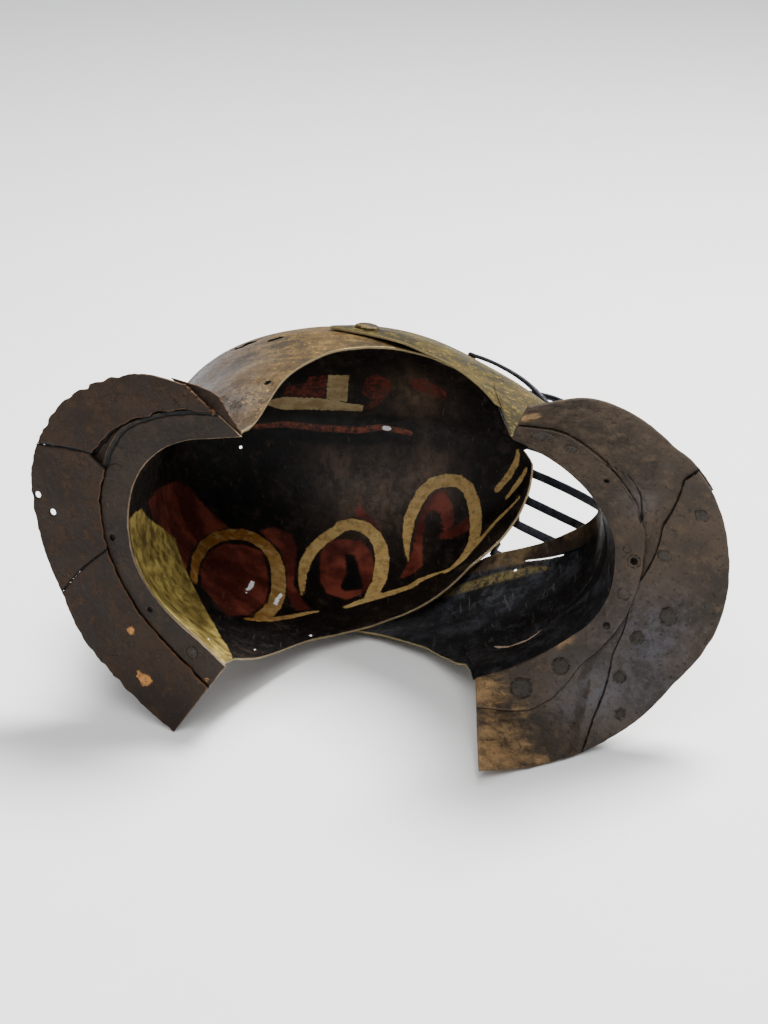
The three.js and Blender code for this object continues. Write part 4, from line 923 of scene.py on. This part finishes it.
def stained(points, collar, rows):
    """The strongest of some soft spots at each point."""
    near = [strength * fading(points, collar_point(collar, s, t), reach) for s, t, reach, strength in rows]
    return np.max(near, 0) if near else np.zeros(points.shape[:-1])


def waves(collar, s, t):
    """Height in mm of the long and short waves beaten into a collar."""
    flat = collar_point(collar, s, t)
    return 1.1 * bumps(flat, 75, 5) + 0.45 * bumps(flat, 24, 9)


def line_distance(name, collar, flat):
    """Distance in mm to the nearest crack, ring or seam shadow of a piece."""
    near = [segment_distance(flat, collar_point(collar, *np.array(line).T))[0] for line in CRACKS[collar]]
    for on, s, t, radius in RINGS:
        if on == collar:
            off = np.abs(np.linalg.norm(flat - collar_point(collar, s, t), axis=-1) - radius)
            near.append(off + RING_THINNER)
    for seam_name, key, half in SEAM_SHADOWS.get(name, []):
        ends = SEAMS[seam_name][key]
        walk = np.linspace(ends[0], ends[-1], 60)
        cross = seam(seam_name, key)(walk)
        line = collar_point(collar, cross, walk) if key == "t" else collar_point(collar, walk, cross)
        uneven = 0.7 + 0.9 * bumps(flat, 8, 61) + 0.4 * bumps(flat, 2.5, 67)
        near.append(segment_distance(flat, line)[0] - half * uneven)
    return np.min(near, 0)


def patch(name, collar, left, right, t_in, t_out, lift, columns, rows, holes=()):
    """Part of a collar between two seams and two edges, at a height above the visible face.
    Holes are the place along and across the collar, and the half width in mm."""
    thick = COLLAR_SHEET if collar == "front" else NAPE_SHEET
    rise = thick if collar == "front" else 0
    u = np.broadcast_to(spaced(columns, 0.004)[None, :], (rows + 3, columns + 3))
    v = np.broadcast_to(spaced(rows, 0.012)[:, None], (rows + 3, columns + 3))
    s, t = u, v
    for _ in range(6):
        s = left(t) + (right(t) - left(t)) * u
        t = t_in(s) + (t_out(s) - t_in(s)) * v
    n = collar_normal(collar, s, t)
    grid = lifted(collar, s, t, lift(u)) + n * (waves(collar, s, t) + rise)[..., None]
    flat = collar_point(collar, s, t)
    cuts = []
    for hole_s, hole_t, half in holes:
        centre = lifted(collar, hole_s, hole_t, rise + np.mean(lift(u)))
        nearest = np.unravel_index(np.argmin(np.linalg.norm(grid - centre, axis=-1)), s.shape)
        cuts.append((centre + (grid[nearest] - centre) @ n[nearest] * n[nearest], half))
    values = {"line": line_distance(name, collar, flat)}
    for stain, rows_of_it in STAINS[collar].items():
        values[stain] = stained(flat, collar, rows_of_it)
    return sheet(name, grid, thick, holes=cuts, extra={key: (value, value) for key, value in values.items()})


CHEST_HOLES = [(0.252, 0.23, 1.6), (0.471, 0.17, 2.4), (0.65, 0.14, 2.1)]
level_0, level_side = straight(0.0), straight(LIFT_SIDE)
start, end, plate_in = straight(0.0), straight(1.0), straight(PLATE_IN_T)
chest_band = patch("chest_band_sheet", "front", start, end, straight(0.0, 0.004, 41),
                   seam("front_band", "s", ragged=0.008, seed=42), level_0, 230, 18, CHEST_HOLES)
chest_side = patch("chest_side_sheet", "front", seam("upper_side", "t", ragged=0.002, seed=43),
                   seam("side_lower", "t", ragged=0.002, seed=44), plate_in, straight(1.0, 0.012, 45),
                   level_side, 110, 46)
chest_upper = patch("chest_upper_sheet", "front", start,
                    lambda t: seam("upper_side", "t")(t) + seam("underlap", "t")(t), plate_in,
                    straight(1.0, 0.012, 46), dip(0.72, 0.82), 120, 42)
chest_lower = patch("chest_lower_sheet", "front",
                    lambda t: seam("side_lower", "t")(t) - seam("underlap", "t")(t), end, plate_in,
                    straight(1.0, 0.008, 47), dip(0.36, 0.26), 70, 42)

NAPE_HOLES = [(0.55, 0.19, 2.2), (0.754, 0.14, 2.0)]
STRAP_HOLES = [(0.469, 0.93, 2.6), (0.5, 0.79, 2.6)]
nape_band = patch("nape_band_sheet", "back", start, end, straight(0.0, 0.004, 51),
                  seam("back_band", "s", shift=0.04), straight(BACK_BAND_LIFT), 190, 18, NAPE_HOLES)
nape_upper = patch("nape_upper_sheet", "back", straight(0.0, 0.012, 52),
                   seam("nape_upper", "t", -CRACK_HALF_S, 0.003, 53),
                   seam("nape_upper_in", "s", ragged=0.03, seed=54), straight(1.0, 0.05, 55),
                   level_0, 90, 30)
nape_middle = patch("nape_middle_sheet", "back", seam("nape_upper", "t", CRACK_HALF_S, 0.003, 53),
                    seam("nape_lower", "t", -CRACK_HALF_S, 0.004, 56),
                    seam("back_band", "s", -0.01, 0.02, 57), straight(1.0, 0.025, 58),
                    level_0, 60, 42, STRAP_HOLES)
nape_lower = patch("nape_lower_sheet", "back", seam("nape_lower", "t", CRACK_HALF_S, 0.004, 56), end,
                   seam("back_band", "s", -0.01, 0.02, 59), straight(1.0, 0.03, 60), level_0, 90, 42)
nape_backing = patch("nape_backing_sheet", "back", straight(0.004), straight(0.996), straight(0.13),
                     straight(0.72), straight(BACK_WALL_LIFT), 120, 20)

# The torn end of the nape backing runs out past the neck on the right, thinned to 1.4 mm.
FLAP_EDGE = {"t": [0.03, 0.25, 0.5, 0.72, 0.88, 0.97, 1.02],
             "s": [0.004, 0.018, 0.032, 0.046, 0.052, 0.044, 0.022]}
FLAP_ROWS, FLAP_COLUMNS, FLAP_ROOT_S = 40, 12, 0.03
FLAP_SHEET, FLAP_CLEAR = 1.4, 0.2
flap_t = np.linspace(FLAP_EDGE["t"][0], FLAP_EDGE["t"][-1], FLAP_ROWS)[:, None]
tear = 0.004 * bumps(np.stack([flap_t * 60, 0 * flap_t, 0 * flap_t], -1), 4.0, 71)
past = np.interp(flap_t, FLAP_EDGE["t"], FLAP_EDGE["s"]) + tear
reach = -FLAP_ROOT_S + (past + FLAP_ROOT_S) * np.linspace(0, 1, FLAP_COLUMNS)[None, :]
flap_end = collar_point("back", 0 * reach, flap_t + 0 * reach)
flap_root = collar_point("back", 0 * reach + FLAP_ROOT_S, flap_t + 0 * reach)
flap_grid = flap_end + (flap_end - flap_root) * (reach / FLAP_ROOT_S)[..., None]
flap_grid = flap_grid + collar_normal("back", 0 * reach, flap_t) * (BACK_WALL_LIFT + FLAP_CLEAR)
nape_flap = sheet("nape_flap_sheet", flap_grid, FLAP_SHEET, depths={16: 0.9, 6: 0.4}, seed=77,
                  extra={"line": (FAR, FAR), "cold": (0, 0), "rust": (0, 0)})

# Patinated iron, grey brown: handled plate under old oil, cold steel where the skin is rubbed
# through and dull rust at the lower corner.
chest_iron = patinated_iron("patinated iron, grey brown", "#2b241d", "#3d3228", "#4a3d2f", "#5c4030",
                            metal=0.35, rough=(0.42, 0.66), cold="#47484f", rust="#9a7a52", line=True,
                            speck_share=0.68, edge="#4e4237", dust="#665c4e", flaky=False,
                            edge_share=0.4)
# Patinated iron, red brown: the darkest skin, dry and scaly, with a few orange spots.
nape_iron = patinated_iron("patinated iron, red brown", "#1c120c", "#2b1d11", "#39281a", "#5a3822",
                           metal=0.2, rough=(0.5, 0.75), rust="#b07a42", line=True, speck_share=0.66,
                           edge="#5c4029", dust="#57463a", edge_share=0.6, cracked=True)
# Patinated iron, umber: the same skin, rubbed smoother and darker round the neck.
band_iron = patinated_iron("patinated iron, umber", "#1b130e", "#261c14", "#33281d", "#4a3222",
                           metal=0.2, rough=(0.42, 0.66), rust="#b07a42", line=True, speck_share=0.7,
                           edge="#7a6750", dust="#5a4c40")
for piece, iron, slot, node in ((chest_band, chest_iron, "chest_band", "chest_band"),
                                (chest_side, chest_iron, "chest_plates", "chest_side_plate"),
                                (chest_upper, chest_iron, "chest_plates", "chest_upper_plate"),
                                (chest_lower, chest_iron, "chest_plates", "chest_lower_plate"),
                                (nape_band, band_iron, "nape_band", "nape_band"),
                                (nape_upper, nape_iron, "nape_plates", "nape_upper_plate"),
                                (nape_middle, nape_iron, "nape_plates", "nape_middle_plate"),
                                (nape_lower, nape_iron, "nape_plates", "nape_lower_plate"),
                                (nape_backing, nape_iron, "nape_plates", "nape_backing"),
                                (nape_flap, nape_iron, "nape_plates", None)):
    for _ in ("first face", "second face"):
        piece.data.materials.append(iron)
    if node:
        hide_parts(node)
    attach(piece, "root")


# The rivets: soft iron, hammered almost flat on the collars, and one large domed rivet on each
# temple that holds the front plate to the skull. A small flat tail shows on the other side.
HEAD_DOME_PART, HEAD_SUNK = 0.2, 0.1
TAIL_RADIUS, TAIL_DOME, TAIL_PROUD = 3.2, 1.0, 0.2
PIVOT = {"phi": 87, "z": 158, "head": 10, "dome": 3.4, "tail": 6.4, "tail_dome": 1.6, "proud": 0.6,
         "through": 1.5}
RIVET_SHAPE = {"Segments": 32, "Rings": 16, "Hammering": 0.0004}


def shape_tree(name, given_shape, made_shape, sizes):
    """A node tree with one shape in, one shape out, and named numbers as its inputs."""
    tree = bpy.data.node_groups.new(name, "GeometryNodeTree")
    tree.interface.new_socket(given_shape, in_out="INPUT", socket_type="NodeSocketGeometry")
    for key, size in sizes.items():
        kind = "NodeSocketInt" if isinstance(size, int) else "NodeSocketFloat"
        tree.interface.new_socket(key, in_out="INPUT", socket_type=kind).default_value = size
    tree.interface.new_socket(made_shape, in_out="OUTPUT", socket_type="NodeSocketGeometry")
    return tree, add(tree, "NodeGroupInput").outputs


def hammered(tree, shape, amount, scale, detail):
    """The shape as plain mesh, knocked about a little."""
    real = add(tree, "GeometryNodeRealizeInstances", {"Geometry": shape}).outputs[0]
    rough = add(tree, "ShaderNodeTexNoise", {"Scale": scale, "Detail": detail}).outputs["Color"]
    centred = {0: rough, 1: (0.5, 0.5, 0.5)}
    centred = add(tree, "ShaderNodeVectorMath", centred, operation="SUBTRACT").outputs[0]
    knock = add(tree, "ShaderNodeVectorMath", {0: centred, "Scale": amount}, operation="SCALE").outputs[0]
    return add(tree, "GeometryNodeSetPosition", {"Geometry": real, "Offset": knock}).outputs[0]


def rivet_tree(iron):
    """Domes on points: each point carries its radius, its height and the way it faces."""
    tree, given = shape_tree("riveted heads", "Points", "Rivets", RIVET_SHAPE)
    carried = {}
    for name, kind in (("radius", "FLOAT"), ("dome", "FLOAT"), ("facing", "FLOAT_VECTOR")):
        attribute = add(tree, "GeometryNodeInputNamedAttribute", {"Name": name}, data_type=kind)
        carried[name] = attribute.outputs[0]
    ball = add(tree, "GeometryNodeMeshUVSphere",
               {"Segments": given["Segments"], "Rings": given["Rings"], "Radius": 1.0})
    size = add(tree, "ShaderNodeCombineXYZ", {0: carried["radius"], 1: carried["radius"], 2: carried["dome"]})
    aim = add(tree, "FunctionNodeAlignRotationToVector", {"Vector": carried["facing"]}, axis="Z")
    placed = add(tree, "GeometryNodeInstanceOnPoints",
                 {"Points": given["Points"], "Instance": ball.outputs["Mesh"],
                  "Rotation": aim.outputs[0], "Scale": size.outputs[0]})
    knocked = hammered(tree, placed.outputs[0], given["Hammering"], 260.0, 2.0)
    shaded = add(tree, "GeometryNodeSetShadeSmooth", {0: knocked})
    coated = add(tree, "GeometryNodeSetMaterial", {"Geometry": shaded.outputs[0], "Material": iron})
    add(tree, "NodeGroupOutput", {"Rivets": coated.outputs[0]})
    return tree


def grown_from(name, points, edges, values, tree, settings):
    """A plain mesh made by a node tree from points or edges that carry named values."""
    seed_mesh = bpy.data.meshes.new(name + "_points")
    seed_mesh.from_pydata([tuple(p) for p in points], edges, [])
    for key, column in values.items():
        kind, field = ("FLOAT_VECTOR", "vector") if np.ndim(column) == 2 else ("FLOAT", "value")
        layer = seed_mesh.attributes.new(key, kind, "POINT")
        layer.data.foreach_set(field, np.ravel(column).astype(np.float32))
    carrier = shown(name + "_points", seed_mesh)
    modifier = carrier.modifiers.new("made", "NODES")
    modifier.node_group = tree
    for item in tree.interface.items_tree:
        if item.in_out == "INPUT" and item.name in settings:
            modifier[item.identifier] = settings[item.name]
    mesh = bpy.data.meshes.new_from_object(carrier.evaluated_get(bpy.context.evaluated_depsgraph_get()))
    mesh.name = name
    bpy.data.objects.remove(carrier)
    far_from_rim = mesh.attributes.new("rim", "FLOAT", "POINT")
    far_from_rim.data.foreach_set("value", [FAR] * len(mesh.vertices))
    return shown(name, mesh)


def facing_out(surface, phi, z, back=1.0):
    """Unit normal of the skull or the front plate, away from its inside."""
    around = surface(phi + 1.0, z) - surface(phi - back, z)
    upwards = surface(phi, z + 1.0) - surface(phi, z - back)
    n = unit(np.cross(around, upwards))
    return n if n @ level(surface(phi, z)) > 0 else -n


heads = []
for collar, s, t, radius, lift in RIVETS.values():
    n = collar_normal(collar, s, t)
    seat = lifted(collar, s, t, lift + waves(collar, s, t))
    grip = (COLLAR_SHEET + LAYER_GAP) * (1 if lift else 2) + TAIL_PROUD
    heads.append((seat - n * HEAD_SUNK, radius, radius * HEAD_DOME_PART, -n))
    heads.append((seat + n * grip, TAIL_RADIUS, TAIL_DOME, n))
collar_heads = len(heads)
for side in (-1, 1):
    at = plate_point(side * PIVOT["phi"], PIVOT["z"])
    n = facing_out(plate_point, side * PIVOT["phi"], PIVOT["z"], back=0)
    heads.append((at + n * PIVOT["proud"], PIVOT["head"], PIVOT["dome"], n))
    through = PLATE_SHEET + SKULL_SHEET + PIVOT["through"]
    heads.append((at - n * through, PIVOT["tail"], PIVOT["tail_dome"], -n))
places, radii, domes, facings = (np.array(column) for column in zip(*heads))
facings = facings @ LYING.T

# Worn iron: rivet heads rubbed brighter on top than the plate they sit in.
rivet_iron = patinated_iron("worn rivet iron", "#29241f", "#37322d", "#45403a", "#4c3a2e", metal=0.4,
                            rough=(0.42, 0.64), speck_share=0.7, cloud_mm=12, edge="#5e5248", holed=False)
# Patinated iron, golden, on the two large rivets: the same skin as the plates they hold.
pivot_iron = patinated_iron("patinated rivet iron, golden", "#33291a", "#564524", "#74613a", "#b0802a",
                            metal=0.45, rough=(0.38, 0.58), speck_share=0.6, cloud_mm=14, edge="#93815f",
                            holed=False)
for name, part, nodes, iron in (
        ("collar_rivets", slice(0, collar_heads), list(RIVETS), rivet_iron),
        ("pivot_rivets", slice(collar_heads, None), ["pivot_rivet_right", "pivot_rivet_left"], pivot_iron)):
    carried = {"radius": radii[part] / 1000, "dome": domes[part] / 1000, "facing": facings[part]}
    piece = grown_from(name, lying(places[part]), [], carried, rivet_tree(iron), RIVET_SHAPE)
    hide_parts(*nodes)
    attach(piece, "root")


# The face bars: ten flat strips of iron, forged and bowed outwards, from the brow of the skull
# to the front plate. Each end lies flat on its plate, where it was fixed hot.

# Sideways place at the brow and at the chin, and bow outwards, in mm.
BARS = [(-88, -60, 9), (-62, -38, 22), (-42, -25, 28), (-22, -13, 33), (-3, -2, 36),
        (16, 8, 37), (34, 18, 35), (49, 29, 30), (67, 40, 24), (88, 60, 16)]
BAR_WIDTH, BAR_THICK, BAR_FOOT = 7, 3.2, 12
BAR_ABOVE_RIM, BAR_BELOW_TOP, BAR_OVER_PLATE_PHI = 14, 34, 40
BAR_SEAT_SKULL, BAR_SEAT_PLATE, BAR_ROUND, BAR_SPANS = 1.5, 0.9, 0.8, 28
BAR_SHAPE = {"Width": BAR_WIDTH / 1000, "Thickness": BAR_THICK / 1000, "Corner": 0.0009, "Hammering": 0.0009}


def angle_at(surface, side, z):
    """Angle at which a surface is as far to one side as asked, at a height."""
    angles = np.linspace(0, 90, 361)
    return math.copysign(float(np.interp(abs(side), surface(angles, z)[:, 1], angles)), side)


def rim_height(phi):
    return float(smooth(SKULL_RIM, "phi", min(abs(phi), NAPE_LEFT_PHI), "z"))


def plate_top_height(phi):
    return float(smooth(PLATE_TOP, "phi", abs(phi), "z"))


def bar_path(brow, chin, bow):
    """The middle line of a bar, and the way it faces: flat on each plate, bowed between."""
    top_z, foot_z = rim_height(0), PLATE_TOP["z"][0]
    for _ in range(20):
        top_phi, foot_phi = angle_at(skull_point, brow, top_z), angle_at(plate_point, chin, foot_z)
        covered = plate_top_height(top_phi) if abs(top_phi) > BAR_OVER_PLATE_PHI else 0
        top_z = max(rim_height(top_phi), covered) + BAR_ABOVE_RIM
        foot_z = plate_top_height(foot_phi) - BAR_BELOW_TOP
    seats = []
    for surface, phi, z, seat in ((skull_point, top_phi, top_z, BAR_SEAT_SKULL),
                                  (plate_point, foot_phi, foot_z, BAR_SEAT_PLATE)):
        for h in (z + BAR_FOOT / 2, z - BAR_FOOT / 2):
            seats.append(surface(phi, h) + facing_out(surface, phi, h) * (BAR_THICK / 2 + seat))
    first, bend, landing, last = seats
    brow_facing = facing_out(skull_point, top_phi, top_z)
    chin_facing = facing_out(plate_point, foot_phi, foot_z)
    out = unit(level(chin_facing + brow_facing))
    path = [first]
    for u in np.linspace(0, 1, BAR_SPANS + 1):
        bowed = bow * math.sin(math.pi * u) ** BAR_ROUND if 0 < u < 1 else 0
        path.append(bend * (1 - u) + landing * u + out * bowed)
    path.append(last)
    return np.array(path), np.array([brow_facing] + [out] * (BAR_SPANS + 1) + [chin_facing])


def bar_tree(iron):
    """Strips along lines: the profile keeps its flat side to the way each point faces."""
    tree, given = shape_tree("forged strips", "Lines", "Strips", BAR_SHAPE)
    curve = add(tree, "GeometryNodeMeshToCurve", {"Mesh": given["Lines"]})
    facing = add(tree, "GeometryNodeInputNamedAttribute", {"Name": "facing"}, data_type="FLOAT_VECTOR")
    held = add(tree, "GeometryNodeSetCurveNormal",
               {"Curve": curve.outputs[0], "Normal": facing.outputs[0]}, mode="FREE")
    outline = add(tree, "GeometryNodeCurvePrimitiveQuadrilateral",
                  {"Width": given["Thickness"], "Height": given["Width"]})
    rounded = add(tree, "GeometryNodeFilletCurve",
                  {"Curve": outline.outputs[0], "Radius": given["Corner"], "Count": 2}, mode="POLY")
    swept = add(tree, "GeometryNodeCurveToMesh",
                {"Curve": held.outputs[0], "Profile Curve": rounded.outputs[0], "Fill Caps": True})
    knocked = hammered(tree, swept.outputs[0], given["Hammering"], 70.0, 3.0)
    coated = add(tree, "GeometryNodeSetMaterial", {"Geometry": knocked, "Material": iron})
    add(tree, "NodeGroupOutput", {"Strips": coated.outputs[0]})
    return tree


# Blackened iron: forge scale and old oil, dark blue grey, brown where it has rusted.
bar_iron = patinated_iron("blackened forged iron", "#1b1d22", "#282b32", "#343236", "#4a3a30", metal=0.5,
                          rough=(0.35, 0.55), speck_share=0.66, cloud_mm=22, edge="#3a3d44",
                          dust="#4c4e54", holed=False)
strips = bar_tree(bar_iron)
for number, row in enumerate(BARS, 1):
    path, faces = bar_path(*row)
    steps = [(k, k + 1) for k in range(len(path) - 1)]
    carried = {"facing": faces @ LYING.T}
    piece = grown_from(f"face_bar_strip_{number}", lying(path), steps, carried, strips, BAR_SHAPE)
    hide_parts(f"face_bar_{number}")
    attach(piece, "root")


# The floor is a plain pale sheet, with one large soft light overhead and weak light all round.
FLOOR_HALF = 9.0
floor_mesh = bpy.data.meshes.new("floor")
corners = [(-FLOOR_HALF, -FLOOR_HALF, 0), (FLOOR_HALF, -FLOOR_HALF, 0), (FLOOR_HALF, FLOOR_HALF, 0),
           (-FLOOR_HALF, FLOOR_HALF, 0)]
floor_mesh.from_pydata(corners, [], [(0, 1, 2, 3)])
floor_paint = Surface("pale matt floor", {"dust": (60, 6, 0.6)})
dust = floor_paint.value("dust")
pale = floor_paint.coat("#f0f0ee", "#f6f6f5", dust)
floor_mesh.materials.append(floor_paint.finish(pale, 0.75, 0.0, [(0.1, dust)]))
shown("floor", floor_mesh)

LIGHTS = [{"name": "overhead", "at": (0.7, 0.7, 2.3), "aim": (0, 0, 0.1), "size": 0.9, "watts": 178},
          {"name": "front overhead", "at": (-0.1, -1.5, 2.0), "aim": (0, 0.1, 0.12), "size": 1.4,
           "watts": 38}]
for row in LIGHTS:
    lamp = bpy.data.lights.new(row["name"], "AREA")
    lamp.shape = "SQUARE"
    lamp.size = row["size"]
    lamp.energy = row["watts"]
    lit = shown(row["name"], lamp)
    lit.location = row["at"]
    lit.rotation_euler = (Vector(row["aim"]) - Vector(row["at"])).to_track_quat("-Z", "Y").to_euler()
ROOM_LIGHT = {"colour": "#e4e6ea", "strength": 0.64}
world = bpy.data.worlds.new("soft room")
world.use_nodes = True
world.node_tree.nodes["Background"].inputs["Color"].default_value = colour(ROOM_LIGHT["colour"])
world.node_tree.nodes["Background"].inputs["Strength"].default_value = ROOM_LIGHT["strength"]
bpy.context.scene.world = world
